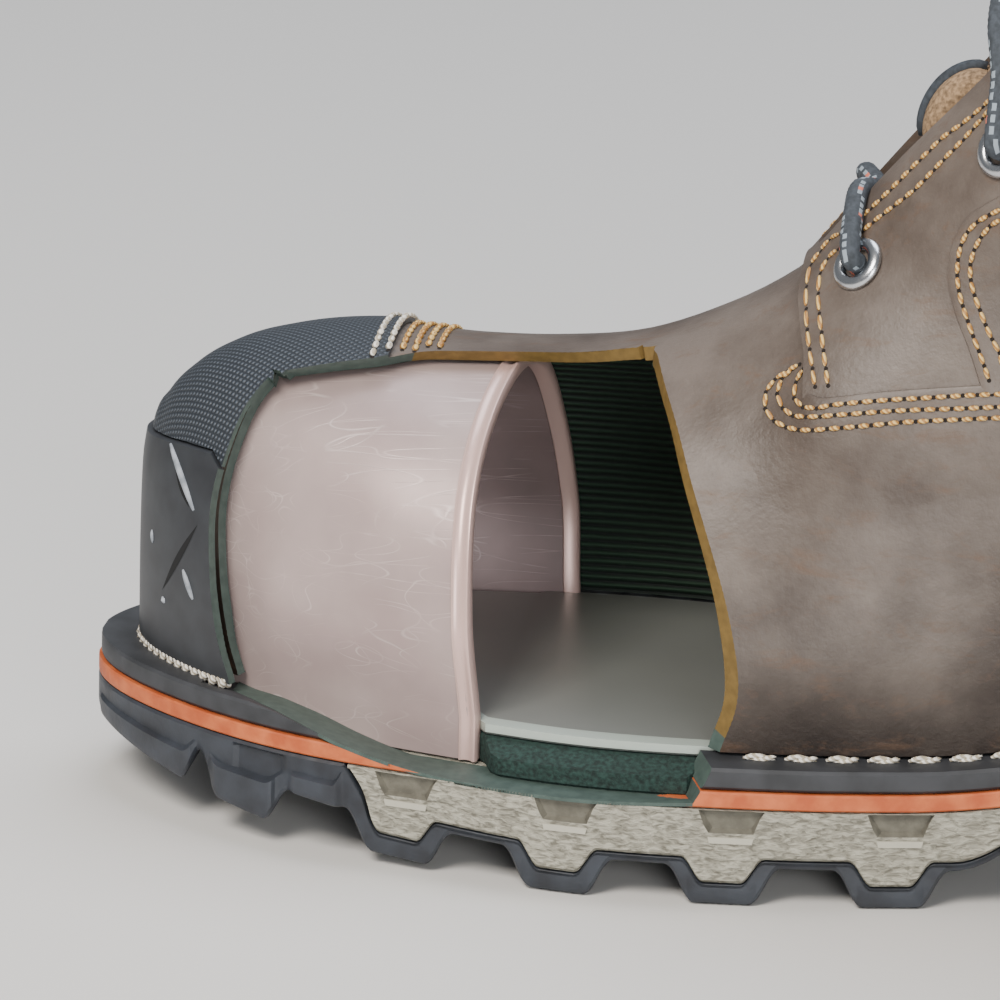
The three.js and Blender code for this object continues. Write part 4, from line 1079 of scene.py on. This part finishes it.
bars = []
for tooth in TEETH[:6] + POCKET_AHEAD:
    for way in (-1, 1):
        pocket = side_rings(tooth, way, POCKET, ((-1.3, -0.6), (1.0, 0.5)))
        cut(core, turn_out(mesh_object("recess", *loft(pocket), pocket_painted_shade,
                                       smooth_faces=False)))
        bars.append(loft(side_rings(tooth, way, BAR, ((-0.5, 0.0), (0.35, 0.0)))))
bar_mesh = mesh_object("core_bars", *joined(bars), bar_painted_highlight, smooth_faces=False)
place(turn_out(bar_mesh), "stone_foam")
place(sharpen(outsole, 30), "black_rubber", "outsole")
place(sharpen(core, 25), "stone_foam", "sole_core")

# %% [markdown]
# ## Toe guard and bumper
# A scuff-proof guard covers the leather of the toe and a moulded rubber bumper stands at its
# front. Both are skins over the same form: the raised form less the form just above the
# leather, kept inside an outline that is drawn in the side view.

# The guard's coated textile has small raised diamonds in slanted rows. The rows wrap round the
# toe, so they are worked out from two angles about a point inside it, times its radius.

# %% Guard textile and bumper rubber
GUARD_PITCH, TOE_MIDDLE, TOE_ROUND = 0.8, (-105.0, 0.0, 20.0), 50.0


def guard_material(name):
    """Coated textile: the pressed diamonds set a dull blue grey, with painted highlight on their
    crests and painted shade between them.
    """
    made, tree, mm = material(name)
    off = add(tree, "VectorMath", {0: mm, 1: TOE_MIDDLE}, operation="SUBTRACT")
    x, y, z = add(tree, "SeparateXYZ", {0: off}).outputs
    out = add(tree, "VectorMath", {0: add(tree, "CombineXYZ", {1: y, 2: z})}, operation="LENGTH")
    ahead = add(tree, "Math", {0: x, 1: -1.0}, operation="MULTIPLY")
    roll = add(tree, "Math", {0: y, 1: z}, operation="ARCTAN2")
    tilt = add(tree, "Math", {0: out.outputs["Value"], 1: ahead}, operation="ARCTAN2")
    rows = []
    for way in ("ADD", "SUBTRACT"):
        slant = add(tree, "Math", {0: roll, 1: tilt}, operation=way)
        phase = add(tree, "Math", {0: slant, 1: 2**0.5 * np.pi * TOE_ROUND / GUARD_PITCH},
                    operation="MULTIPLY")
        wave = add(tree, "Math", {0: phase}, operation="SINE")
        rows.append(add(tree, "Math", {0: wave, 1: 0.5, 2: 0.5}, operation="MULTIPLY_ADD"))
    both = add(tree, "Math", {0: rows[0], 1: rows[1]}, operation="MULTIPLY")
    # The diamonds' height sets the colour: painted highlight on the crests, painted shade between
    # them.
    hue = add(tree, "ValToRGB", {0: both}, stops=((0.1, "#262b31"), (0.8, "#4c545e")))
    finish(tree, {"Base Color": hue, "Roughness": 0.5}, both, 0.3)
    return made


guard_textile = guard_material("embossed_guard_textile")
bumper_rubber = plain_material("moulded_bumper_rubber", "#2a2c30", 0.5, other="#33363a", size=5)
print("made", guard_textile.name, bumper_rubber.name)

# %% [markdown]
# The bumper's outline is a polygon of the side view, as shares of length and height. The guard
# keeps a small room round the bumper.

# %% Guard and bumper
GUARD_THICK, GUARD_END, BUMPER_THICK, SKIN_GAP = 1.2, 56.5, 2.2, 0.03
BUMPER = np.array([(-.02, .12), (.135, .12), (.118, .28), (.081, .338), (.061, .336),
                   (.035, .33), (-.02, .326)]) * [LENGTH, SHAFT_TOP]
BUMPER_ROOM = [[0, -4.2], [1.1, -4.2], [1.1, 0.4]] + [[0, 0.4]] * 4
GUARD_FOOT, GUARD_LEAN, ACROSS = 26.5, 2.5, 120.0
toe_sections = np.linspace(0, 1, 70)**1.15 * section_at(CAP_END + 10)


def bar_tool(name, outline, mat):
    """A straight bar from side to side, its outline drawn in s and z."""
    rings = [[(s, y, z) for s, z in outline] for y in (-ACROSS, ACROSS)]
    return turn_out(mesh_object(name, *loft(rings), mat))


def skin(name, thick, outline, mat, *tools):
    """A skin of a thickness over the toe's leather, inside a side-view outline."""
    made = form(name, thick, toe_sections, mat=mat)
    cut(made, form("under", SKIN_GAP, toe_sections, deep=6.0, mat=mat))
    cut(made, bar_tool("outline", outline, mat), operation="INTERSECT")
    return cut(made, *tools)


bumper = skin("toe_bumper_rubber", BUMPER_THICK, BUMPER, bumper_rubber, window_tool("window"))
guard_outline = [(-6, GUARD_FOOT), (GUARD_END, GUARD_FOOT), (GUARD_END + GUARD_LEAN, 127),
                 (-6, 127)]
guard = skin("toe_guard_skin", GUARD_THICK, guard_outline, guard_textile,
             bar_tool("bumper_room", BUMPER + BUMPER_ROOM, guard_textile), window_tool("window"))
place(sharpen(bumper), "bumper_rubber", "toe_bumper")
place(sharpen(guard), "grey_leather", "toe_guard")

# %% [markdown]
# ## Eyestays
# The reinforced leather beside the lacing carries the eyelets. It is a skin as well, open
# along the throat.

# %% Eyestays
EYESTAY_THICK = 1.5
EYESTAY = np.array([(.4425, .4439), (.4406, .4774), (.4321, .5137), (.43, .57), (.5, .75),
                    (.6, 1.1), (.715, 1.1), (.706, .93), (.645, .77), (.5525, .6151),
                    (.5327, .5467), (.548, .48), (.553, .4439)]) * [LENGTH, SHAFT_TOP]
shaft_sections = FINE_SECTIONS[FINE_SECTIONS > 0.75]
eyestay = form("eyestay_leather", EYESTAY_THICK, shaft_sections, mat=leather)
cut(eyestay, form("under", SKIN_GAP, shaft_sections, past=10, mat=leather))
cut(eyestay, bar_tool("outline", EYESTAY, leather), operation="INTERSECT")
cut(eyestay, slot_tool("slot", 0.4, leather))
place(sharpen(eyestay), "brown_leather", "eyestays")

# %% [markdown]
# ## Tongue
# A padded tongue lies under the throat and fills its slot. It is a spacer mesh over foam: a
# dull, open weave, drawn here as a fine tan and brown mottle. Its outer skin puffs up between
# the eyestays, and it ends just above the collar.

# %% Tongue
TONGUE_CLEAR, TONGUE_THICK, TONGUE_HALF, TONGUE_RISE = 1.8, 3.5, 27.0, 3.6
tongue_mesh = plain_material("tan_tongue_mesh", "#a98b69", 0.85, other="#6b563f", size=0.9,
                             relief=0.3)


def side_at(section, out):
    """Side value at a distance from the middle line, near the ridge."""
    section, out = np.broadcast_arrays(np.asarray(section, float), np.asarray(out, float))

    def nearer(v):
        return np.abs(surface(section, -v)[..., 1] - surface(section, 0)[..., 1]) < out
    return cross(nearer, np.zeros(section.shape), np.full(section.shape, 0.9))


def tongue_rings(sections, across=41):
    u = np.linspace(-1, 1, across)
    rings = []
    for a in sections:
        slot = float(slot_half(surface(a, 0)[0]))
        out = np.abs(u) * TONGUE_HALF
        puff = TONGUE_RISE * float(smooth(1, 1.12, a)) * smooth(slot - 0.9, slot * 0.4, out)
        side = np.sign(u) * side_at(min(a, 2.0), out)
        skin_rows = raised(np.full(across, a), side, puff - WALL - TONGUE_CLEAR)
        under = raised(np.full(across, a), side, puff - WALL - TONGUE_CLEAR - TONGUE_THICK)
        rings.append(np.concatenate([skin_rows, under[::-1]]))
    return np.array(rings)


tongue = mesh_object("padded_tongue", *loft(tongue_rings(
    np.concatenate([np.linspace(0.86, 2, 60), [2.04, 2.08, 2.12, 2.16]]))), tongue_mesh)
turn_out(tongue)
place(sharpen(tongue, 50), "tongue_mesh", "tongue")

# %% [markdown]
# A folded loop of the same mesh stands up from the tongue between the first two lace holes. It
# keeps the lace in the middle. A dark binding runs over its fold.

# %% Tongue loop
LOOP_FROM_Z, LOOP_TO_Z, LOOP_HALF, LOOP_HIGH = 138.5, 152.0, 7.0, 5.4
LOOP_COUNT, LOOP_ACROSS, LOOP_SUNK = 22, 17, 1.6
loop_ends = [float(cross(lambda a: section_ends(a)[1][1] < z, 1.0, 1.9))
             for z in (LOOP_FROM_Z, LOOP_TO_Z)]
loop_sections = np.linspace(*loop_ends, LOOP_COUNT)
loop_rise = np.sin(np.linspace(0.02, np.pi - 0.02, LOOP_COUNT))**0.45
u = np.linspace(-1, 1, LOOP_ACROSS)
loop_rings = []
for a, rise in zip(loop_sections, loop_rise):
    side = np.sign(u) * side_at(a, np.abs(u) * LOOP_HALF)
    arch = LOOP_HIGH * rise * np.maximum(1 - np.abs(u)**3, 0)**0.5
    loop_rings.append(raised(np.full(LOOP_ACROSS, a), side, -LOOP_SUNK + arch))
binding_grey = plain_material("dark_binding", "#2b3036", 0.8, other="#3d444c", size=1.2,
                              relief=0.2)
place(mesh_object("tongue_loop", *loft(np.array(loop_rings), closed=False, caps=False),
                  tongue_mesh), "tongue_mesh")

# %% [markdown]
# ## Eyelets
# Each eyelet is a rolled ring of nickelled brass: a rounded flange with a throat that dips
# into the leather. One half profile is turned about the eyelet's own normal.

# %% Eyelets
EYELETS = [(1.0, .336), (1.24, .431), (1.5, .448), (1.83, .448)]
nickel = plain_material("nickelled_eyelet", "#c9cbce", 0.24, 1.0, size=2)
EYELET_ROWS = [(2.75, -1.6), (2.75, 0.2), (2.95, 0.75), (3.4, 1.1), (4.1, 1.15), (4.9, 0.85),
               (5.35, 0.4), (5.5, -0.1), (5.3, -0.4), (3.2, -0.5), (3.1, -1.6)]
places, turned_rings = [], []
for section, out in EYELETS:
    for way in (-1, 1):
        side = way * float(side_at(section, out * HALF_WIDTH))
        n = surface_normal(section, side)
        p = surface(section, side) + n * (EYESTAY_THICK + 0.5)
        places.append((section, side, p, n))
        u = unit(np.cross(n, [0, 1.0, 0]))
        v = np.cross(n, u)
        angles = np.linspace(0, 2 * np.pi, 36, endpoint=False)
        rows = np.array(EYELET_ROWS)
        ring = (p + rows[None, :, :1] * (np.cos(angles)[:, None, None] * u
                                        + np.sin(angles)[:, None, None] * v)
                + rows[None, :, 1:] * n)
        ring = np.concatenate([ring, ring[:1]])
        turned_rings.append(loft(ring, caps=False))
eyelets = mesh_object("eyelet_rings", *joined(turned_rings), nickel)
work = bmesh.new()
work.from_mesh(eyelets.data)
bmesh.ops.remove_doubles(work, verts=work.verts, dist=1e-7)
bmesh.ops.recalc_face_normals(work, faces=work.faces)
work.to_mesh(eyelets.data)
work.free()
eyelet_nodes = [f"eyelet_{w}_{i}" for i in range(1, 5) for w in ("outer", "inner")]
place(eyelets, "eyelet_metal", *eyelet_nodes)

# %% [markdown]
# ## Panels over the quarter
# The vamp's leather lies over the lower quarter, and a rear panel lies over it from behind.
# Each is cut with a clean edge and skived thin where it runs out, so it is a skin that is thick
# at its edge line and fades into the leather.

# %% Laid panels
VAMP_EDGE = [(140.4, 101), (140.6, 99.3), (141, 96.7), (141.8, 95.1), (144, 94.3), (147.8, 94.9),
             (152.5, 96), (158.4, 97.2), (164.9, 98.3), (170.8, 99.2), (177.8, 100.2),
             (200, 102), (235, 103), (265, 102), (290, 100)]
PANEL_EDGE = [(174.6, 97.5), (173.2, 101.5), (171.4, 106), (169, 111), (167.6, 115),
              (167.1, 118.6), (167.4, 122.4), (168.6, 126.2), (170.6, 129.4), (173.6, 132),
              (180, 136.5), (192, 149), (203, 164), (214, 182), (221, 198), (224, 210)]


def laid_panel(edge, wide, high, way):
    """Points and faces of a panel whose inside lies to the right of its edge line."""
    line = through(edge, 1.0)
    run = unit(np.gradient(line, axis=0))
    inward = np.stack([run[:, 1], -run[:, 0]], -1)
    ends = smooth(0, 3, line[:, 0] - line[:, 0].min()) if wide > 20 else 1.0
    ends = np.minimum(ends, 1 - smooth(282, 291, line[:, 0]))
    rings = []
    fade = [(d, 1 - float(smooth(1.5, wide, d)) * 1.05) for d in np.linspace(1.5, wide, 14)]
    for d, h in [(0, 0), (0.05, 0.6), (0.35, 0.92), (0.9, 1)] + fade:
        s, z = (line + inward * d).T
        lift = (high * h * ends)[:, None]
        rings.append(on_side(s, z, way) + side_normal(s, z, way) * lift)
    return loft(np.stack(rings, 1), closed=False, caps=False)


panels = mesh_object("laid_leather_panels", *joined(
    [laid_panel(VAMP_EDGE, 24, 2.1, way) for way in (-1, 1)]
    + [laid_panel(PANEL_EDGE, 19, 2.2, way) for way in (-1, 1)]), leather)
place(sharpen(panels, 45), "brown_leather")

# %% [markdown]
# ## Seams
# Two and three rows of thick gold thread hold the panels. Every stitch is a small padded dash
# between two needle holes. Rows are drawn in the side view and dropped on the leather.

# %% Thread
STITCH_PITCH, THREAD_HALF, HOLE_R = 2.7, 0.5, 0.44


def thread_material(name, light, dark):
    """Bonded polyester thread: satin, its twist shows as slanting lines, drawn coarse."""
    made, tree, mm = material(name)
    turned = add(tree, "Mapping", {"Vector": mm, "Rotation": (0, 0.9, 0.3)})
    twist = add(tree, "TexWave", {"Vector": turned, "Scale": 1 / 2.6})
    hue = add(tree, "ValToRGB", {0: twist}, stops=((0.25, dark), (0.7, light)))
    finish(tree, {"Base Color": hue, "Roughness": 0.5}, twist, 0.12)
    return made


gold_thread = thread_material("gold_thread", "#e2bd76", "#a9783c")
cream_thread = thread_material("cream_thread", "#f0ebe0", "#b3a892")
# Needle holes are dark discs laid on the leather: painted shade in each hole.
hole_painted_shade = plain_material("needle_hole", "#1a120d", 0.9)
print("made", gold_thread.name, cream_thread.name, hole_painted_shade.name)

# %% [markdown]
# To lie on the leather, a place of the side view is sent along the surface's normal until it
# meets one of the skins. Each pair of neighbours then gets a padded dash, and each place a
# dark disc of painted shade for its needle hole.

# %% Stitch helpers
REACH, DEEPEST, LONGEST = 9.0, 1.5, 12.0


def tree_of(*pieces):
    """One search tree over the pieces, in millimetres."""
    return BVHTree.FromPolygons(*joined([
        ([np.array(v.co) / MM + ORIGIN for v in piece.data.vertices],
         [list(f.vertices) for f in piece.data.polygons]) for piece in pieces]))


skins = tree_of(upper, eyestay, guard, bumper, panels)


def drop(points, normals):
    """Where places meet the leather, with their normals, and None over the window."""
    kept = []
    for p, n in zip(points, normals):
        hit, _, _, far = skins.ray_cast(Vector(p + n * REACH), Vector(-n))
        found = hit is not None and far < REACH + DEEPEST
        kept.append((np.array(hit), n) if found else None)
    return kept


def dash(a, b, n, half, thick, share):
    """A padded stitch between two places."""
    centre, run = (a + b) / 2, b - a
    across = unit(np.cross(run, n))
    rings = []
    for u, r in ((-1, 0.3), (-0.75, 0.8), (0, 1), (0.75, 0.8), (1, 0.3)):
        angles = np.linspace(0, 2 * np.pi, 6, endpoint=False)
        rings.append(centre + run * u * share / 2 + across * half * r * np.cos(angles)[:, None]
                     + n * (thick * r * np.sin(angles)[:, None] + thick * 0.55))
    return loft(rings)


def seam(places, half=THREAD_HALF, thick=0.42, share=0.74):
    """Dashes, and dark discs of painted shade for the needle holes, along dropped places."""
    dashes, holes = [], []
    for a, b in zip(places[:-1], places[1:]):
        if a is not None and b is not None and np.linalg.norm(a[0] - b[0]) < LONGEST:
            dashes.append(dash(a[0], b[0], unit(a[1] + b[1]), half, thick, share))
    for spot in places:
        if spot is not None:
            p, n = spot
            u = unit(np.cross(n, [0.3, 0.2, 1.0]))
            v = np.cross(n, u)
            angles = np.linspace(0, 2 * np.pi, 8, endpoint=False)[:, None]
            ring = p + n * 0.06 + HOLE_R * (u * np.cos(angles) + v * np.sin(angles))
            holes.append((ring, [list(range(8))]))
    return dashes, holes


def throat_row(out, first):
    """Places of a row beside the slot, from a section up to the collar."""
    rows = []
    for a in np.linspace(first, 1.96, 9):
        side = side_at(a, slot_half(surface(a, 0)[0]) + out)
        rows.append(tuple(surface(a, -side)[[0, 2]]))
    return rows


print("leather to stitch on: five pieces")

# %% [markdown]
# Each row is a line of places in the side view. Two rows border the eyestay's front, two its
# throat, three the vamp's edge and two the rear panel.

# %% Seam rows
ROWS = [
    [(143.6, 117.5), (141.6, 114.6), (140, 111.9), (140, 109.5), (140.5, 106.9), (141.1, 104.3),
     (141.9, 101.6), (142.9, 98.3), (143.6, 95.6)],
    [(145.6, 117.1), (143.5, 114.7), (142.5, 112.6), (142.5, 110.3), (143, 107.7), (143.8, 105),
     (144.5, 102.1), (145.4, 98.7), (146, 96.2)],
    [(143.6, 117.5), (146.8, 120.3), (149.5, 123), (151.6, 125.3), (154, 128), (156.9, 131.4),
     (159.9, 135), (162.2, 137.6), (164.5, 140.3), (168.1, 143.5), (171.6, 147)]
    + throat_row(3.4, 1.62),
    [(146.2, 117.8), (149, 120), (151, 122.2), (153.1, 124.3), (155.5, 126.6), (157.9, 128.9),
     (160.3, 131.3), (162.6, 134.1), (165.5, 137.6), (168.4, 141), (171.8, 145.3)]
    + throat_row(5.8, 1.64),
    [(140.3, 98.3), (139.4, 96.6), (139.1, 94.8), (139.4, 93.1), (140.8, 92.1), (143, 91.8),
     (146.8, 93), (151.5, 94.1), (157.3, 95.2), (163.8, 96.2), (170.3, 97.2), (177.8, 98.2),
     (200, 100), (235, 101), (265, 100), (285, 98.4)],
    [(138.2, 97.8), (136.7, 96.5), (135.7, 94.8), (135.8, 93.1), (137, 91.4), (139.1, 90.3),
     (141.6, 90.3), (145.5, 91), (150.9, 92.1), (157.3, 93.3), (163.8, 94.2), (170.4, 94.9),
     (177.9, 95.8), (200, 97.6), (235, 98.6), (265, 97.6), (285, 96)],
    [(139.4, 98.8), (136.5, 96.7), (134.1, 94.7), (133.3, 92.6), (133.7, 90.7), (135.8, 88.9),
     (138.8, 88.1), (142.5, 88.2), (146.7, 89.1), (152.7, 90.3), (158.6, 91.4), (165.1, 92.3),
     (171.1, 93), (178, 93.8), (200, 95.4), (235, 96.4), (265, 95.4), (285, 93.8)],
    [(175.8, 100.5), (174.2, 104.6), (172.7, 107.9), (171.3, 111.2), (169.9, 115),
     (169.3, 118.4), (169.4, 121.8), (170.1, 124.8), (171.6, 127.4), (173.7, 129.4),
     (176.1, 131), (182, 135), (194, 147.5), (205, 163), (216, 181), (223, 197), (226, 209)],
    [(178.3, 103), (177.4, 106), (176.6, 107.2), (175.3, 109.4), (173.8, 112.6), (172.3, 116.2),
     (171.6, 119.3), (171.8, 122.2), (172.9, 125), (174.4, 127.6), (176.2, 129.3),
     (183.5, 133.5), (196, 146.3), (207.2, 162), (218.3, 180.3), (225.3, 196.6), (228.3, 209)]]
TOE_ROWS = ((55.2, True), (57.8, True), (60.1, False), (62.5, False), (64.7, False), (67, False))
TOE_STITCHES = 54
dashes, holes = [], []
for row in ROWS:
    s, z = through(row, STITCH_PITCH).T
    for way in (-1, 1):
        made = seam(drop(on_side(s, z, way), side_normal(s, z, way)))
        dashes += made[0]
        holes += made[1]

# Rows that cross the toe behind the guard, the first pair cream
cream = []
for s, first in TOE_ROWS:
    sides = np.linspace(-0.8, 0.93, TOE_STITCHES)
    a = np.full(TOE_STITCHES, section_at(s))
    found = seam(drop(surface(a, sides), surface_normal(a, sides)), 0.7, 0.6)
    if first:
        cream += found[0]
    else:
        dashes += found[0]
    holes += found[1]
place(mesh_object("gold_seams", *joined(dashes), gold_thread), None)
place(mesh_object("needle_holes", *joined(holes), hole_painted_shade, smooth_faces=False), None)

# %% [markdown]
# ## Welt stitches
# A heavy cream cord of two plies goes through welt and midsole. Along the sides it shows as
# long twisted dashes, round the toe as short beads.

# %% Welt stitches
CORD_R, SIDE_PITCH, BEAD_PITCH = 0.55, 7.8, 2.7
BEADS_TO, CORD_SHARE, BEAD_FATTER = 62, 0.8, 1.6
BINDING_R, BINDING_SUNK = 1.25, 1.4


def ring_path(inset_less, count=900):
    """A closed line round the boot on the welt, a little outside the upper's foot."""
    turn = np.linspace(0, np.pi, count)
    s = TOE_STEP - 1 + (LENGTH - HEEL_STEP - TOE_STEP + 2) * (1 - np.cos(turn)) / 2
    half = plan_half(s, shelf(s) - inset_less, TOE_STEP - 1.2, HEEL_STEP - 1.2)
    high = feather(s) - SEAT_GAP + 0.25
    near = np.stack([s, middle(s) - half, high], -1)
    far = np.stack([s, middle(s) + half, high], -1)
    return np.concatenate([near, far[::-1]])


def twisted(a, b, r):
    """Two plies that turn round each other between two places."""
    along = unit(b - a)
    side = unit(np.cross(along, [0, 0, 1.0]))
    up = np.cross(side, along)
    parts = []
    for phase in (0, np.pi):
        u = np.linspace(0, 1, 9)
        angle = phase + u * np.pi * 1.5
        thin = np.sqrt(np.clip(1 - (2 * u - 1)**6, 0.05, 1))
        path = (a + (b - a) * u[:, None] + r * 0.75 * (
            side * np.cos(angle)[:, None] + up * np.sin(angle)[:, None]))
        parts.append(tube(path, r * thin, 6))
    return parts


def tube(path, radius, sides):
    """Points and faces of a round tube along a path, its rings turned as little as possible."""
    t = unit(np.gradient(path, axis=0))
    n = np.zeros_like(t)
    first = np.cross(t[0], [0, 0, 1.0])
    n[0] = unit(first if np.linalg.norm(first) > 0.1 else np.cross(t[0], [0, 1.0, 0]))
    for i in range(1, len(t)):
        n[i] = unit(n[i - 1] - t[i] * (n[i - 1] @ t[i]))
    b = np.cross(t, n)
    angle = np.linspace(0, 2 * np.pi, sides, endpoint=False)
    r = np.asarray(radius, float)
    r = np.broadcast_to(r.reshape(len(path), -1) if r.ndim else r, (len(path), sides))[..., None]
    rings = (path[:, None] + r * (n[:, None] * np.cos(angle)[None, :, None]
                                  + b[:, None] * np.sin(angle)[None, :, None]))
    return loft(rings)


over_fold = tube(raised(loop_sections, np.zeros(LOOP_COUNT),
                        -BINDING_SUNK + LOOP_HIGH * loop_rise), BINDING_R, 10)
place(mesh_object("tongue_loop_binding", *over_fold, binding_grey), "tongue_mesh")
path = ring_path(1.3)
far = np.concatenate([[0], np.cumsum(np.linalg.norm(np.diff(path, axis=0), axis=1))])


def along_welt(run):
    """The place on the welt's line at a distance from its start."""
    return np.array([np.interp(run, far, path[:, k]) for k in range(3)])


cords, run = [], 0.0
while run < far[-1] - SIDE_PITCH:
    here = along_welt(run)
    bead = here[0] < BEADS_TO
    pitch = BEAD_PITCH if bead else SIDE_PITCH
    in_window = here[1] < 0 and CUT_EDGE[0, 0] - 2 < here[0] < CUT_END[2, 0]
    if not in_window:
        cords += twisted(here, along_welt(run + pitch * CORD_SHARE),
                         CORD_R * (BEAD_FATTER if bead else 1))
    run += pitch
place(mesh_object("cream_seams", *joined(cords + cream), cream_thread), None)

# %% [markdown]
# ## Bumper ridges
# The moulded bumper has a crossed pattern of thin ridges, drawn as pale tubes; the last, short
# one at the front is a painted highlight. Dark strips laid over it are painted shadow.

# %% Bumper ridges
# Pale tubes over the ridges; the last row, a short stroke in front, is a painted highlight.
RIDGES = [([(17.8, 69.8), (20.6, 66), (24.4, 60.2)], 0.75),
          ([(22.6, 48.5), (23.8, 46.2), (25, 43.6)], 0.65), ([(17.7, 41.2), (18.2, 40.1)], 0.6),
          ([(14.6, 52.8), (14.9, 50.4)], 0.45)]
# Dark strips: painted shadow in a groove and beside the first ridge.
GROOVES = [([(25.5, 58), (22, 51.5), (17.6, 42.5)], 0.8), ([(19.5, 66), (23.3, 60.4)], 0.7)]
pale_ridge_and_highlight_rubber = plain_material("pale_ridge_and_highlight", "#a8aeb5", 0.6, other="#7d838a", size=2.5)
groove_painted_shadow = plain_material("groove_shadow_rubber", "#0c0d0f", 0.8)
ridges = []
for row, radius in RIDGES:
    s, z = through(row, 0.5).T
    for way in (-1, 1):
        line = on_side(s, z, way) + side_normal(s, z, way) * BUMPER_THICK
        swell = np.sqrt(np.sin(np.linspace(0.15, np.pi - 0.15, len(s))))
        ridges.append(tube(line, radius * swell, 8))
place(mesh_object("bumper_ridges", *joined(ridges), pale_ridge_and_highlight_rubber), "bumper_rubber")
grooves = []
for row, half in GROOVES:
    s, z = through(row, 0.8).T
    for way in (-1, 1):
        n = side_normal(s, z, way)
        line = on_side(s, z, way) + n * (BUMPER_THICK + 0.04)
        wide = unit(np.cross(np.gradient(line, axis=0), n)) * half
        taper = np.sin(np.linspace(0, np.pi, len(s)))[:, None]
        grooves.append(loft(np.stack([line - wide * taper, line + wide * taper], 1),
                            closed=False, caps=False))
place(mesh_object("bumper_grooves", *joined(grooves), groove_painted_shadow), "bumper_rubber")

# %% [markdown]
# ## Lace
# A round braided lace goes straight across at the lowest eyelets and then criss-crosses up to
# the top ones. It is a tube along a smooth path that dips through each eyelet. A braid of
# polyester is dull, and flecks of a paler and a coral yarn turn round it.

# %% Lace
LACE_R, BRAID_SIDES, LACE_STEPS = 2.0, 14, 120
UNDER, DIPPED = (-3.2, -2.4, -0.9), (3.9, 3.0, -0.6)
CROSS_ABOVE, CROSS_BELOW = (5, 7.4, 7.9), (4, 3.6, 3.2)
lace_cord = plain_material("charcoal_lace", "#33383d", 0.85, other="#454b52", size=1.2,
                           relief=0.2)
lace_pale = plain_material("pale_lace_fleck", "#8f9aa3", 0.8)
lace_coral = plain_material("coral_lace_fleck", "#c8705c", 0.8)


def spline(points, count):
    """Even points along a smooth line through the given ones."""
    p = np.asarray(points, float)
    far = np.concatenate([[0], np.cumsum(np.sqrt(np.linalg.norm(np.diff(p, axis=0), axis=1)))])
    lines = [curve(far, p[:, k]) for k in range(3)]
    fine = np.linspace(0, far[-1], count * 6)
    q = np.stack([line(fine) for line in lines], -1)
    run = np.concatenate([[0], np.cumsum(np.linalg.norm(np.diff(q, axis=0), axis=1))])
    even = np.linspace(0, run[-1], count)
    return np.stack([np.interp(even, run, q[:, k]) for k in range(3)], -1)


def lace_strand(a, b, heights):
    """From one eyelet to another, at heights over the leather near them, between and midway."""
    (sa, ca, pa, na), (sb, cb, pb, nb) = a, b
    near, between, midway = heights
    over = [raised(sa + (sb - sa) * t, ca + (cb - ca) * t, np.float64(h)) for t, h in (
        (0.2, near), (0.35, between), (0.5, midway), (0.65, between), (0.8, near))]
    ends = (-1.5, 0.6) if near < 0 else (2.2, 0.9, -3)
    return spline([pa + na * h for h in ends[::-1]] + over + [pb + nb * h for h in ends],
                  LACE_STEPS)


# The lowest lace dips into the throat, the next pair crosses under it, the others over it
strands = [lace_strand(places[0], places[1], DIPPED)]
for i in (0, 2, 4):
    strands.append(lace_strand(places[i], places[i + 3], CROSS_ABOVE if i else UNDER))
    strands.append(lace_strand(places[i + 1], places[i + 2], CROSS_BELOW if i else UNDER))
step, turn = np.meshgrid(np.arange(LACE_STEPS), np.arange(BRAID_SIDES), indexing="ij")
weave = 1 + 0.055 * np.cos(2 * np.pi * (step / 4 + turn / 7)) * np.cos(
    2 * np.pi * (step / 4 - turn / 7))
parts = [tube(path, LACE_R * weave, BRAID_SIDES) for path in strands]
step, turn = step[:-1].ravel(), turn[:-1].ravel()
pale = ((turn + step // 9) % 5 == 0) & (step % 3 > 0)
coral = ((turn + step // 9) % 7 == 3) & (step % 13 < 2)
marks = list(np.where(coral, 2, np.where(pale, 1, 0))) + [0, 0]
lace = turn_out(mesh_object("braided_lace", *joined(parts), [lace_cord, lace_pale, lace_coral],
                            marks=marks * len(parts)))
place(lace, "lace_cord", "lace")

# %% [markdown]
# ## Floor and light
# A plain pale floor and three large soft lamps, as in a small product studio.

# %% Stage
FLOOR_REACH, SKY_LIGHT = 9000, 0.3
floor_finish, floor_tree, _ = material("pale_paper_floor")
finish(floor_tree, {"Base Color": "#dcdad6", "Roughness": 0.9})
corners = [(x * FLOOR_REACH, y * FLOOR_REACH, 0) for x, y in ((-1, -1), (1, -1), (1, 1), (-1, 1))]
floor = mesh_object("floor", corners, [[0, 1, 2, 3]], floor_finish)


def lamp(name, where, size, watts, hue="#ffffff"):
    """A soft square lamp aimed at the boot."""
    data = bpy.data.lights.new(name, "AREA")
    data.size, data.energy, data.color = size, watts, linear(hue)[:3]
    made = bpy.data.objects.new(name, data)
    made.location = where
    made.rotation_euler = (TARGET - Vector(where)).to_track_quat("-Z", "Y").to_euler()
    bpy.context.scene.collection.objects.link(made)


lamp("key", (-0.45, -0.95, 1.15), 0.6, 26, "#fff8f0")
lamp("top", (0.15, 0.55, 1.5), 1.1, 20, "#eef4ff")
lamp("fill", (0.45, -1.35, 0.38), 0.55, 11)
world = bpy.data.worlds.new("studio")
world.use_nodes = True
world.node_tree.nodes["Background"].inputs[0].default_value = linear("#dfe3e8")
world.node_tree.nodes["Background"].inputs[1].default_value = SKY_LIGHT
bpy.context.scene.world = world
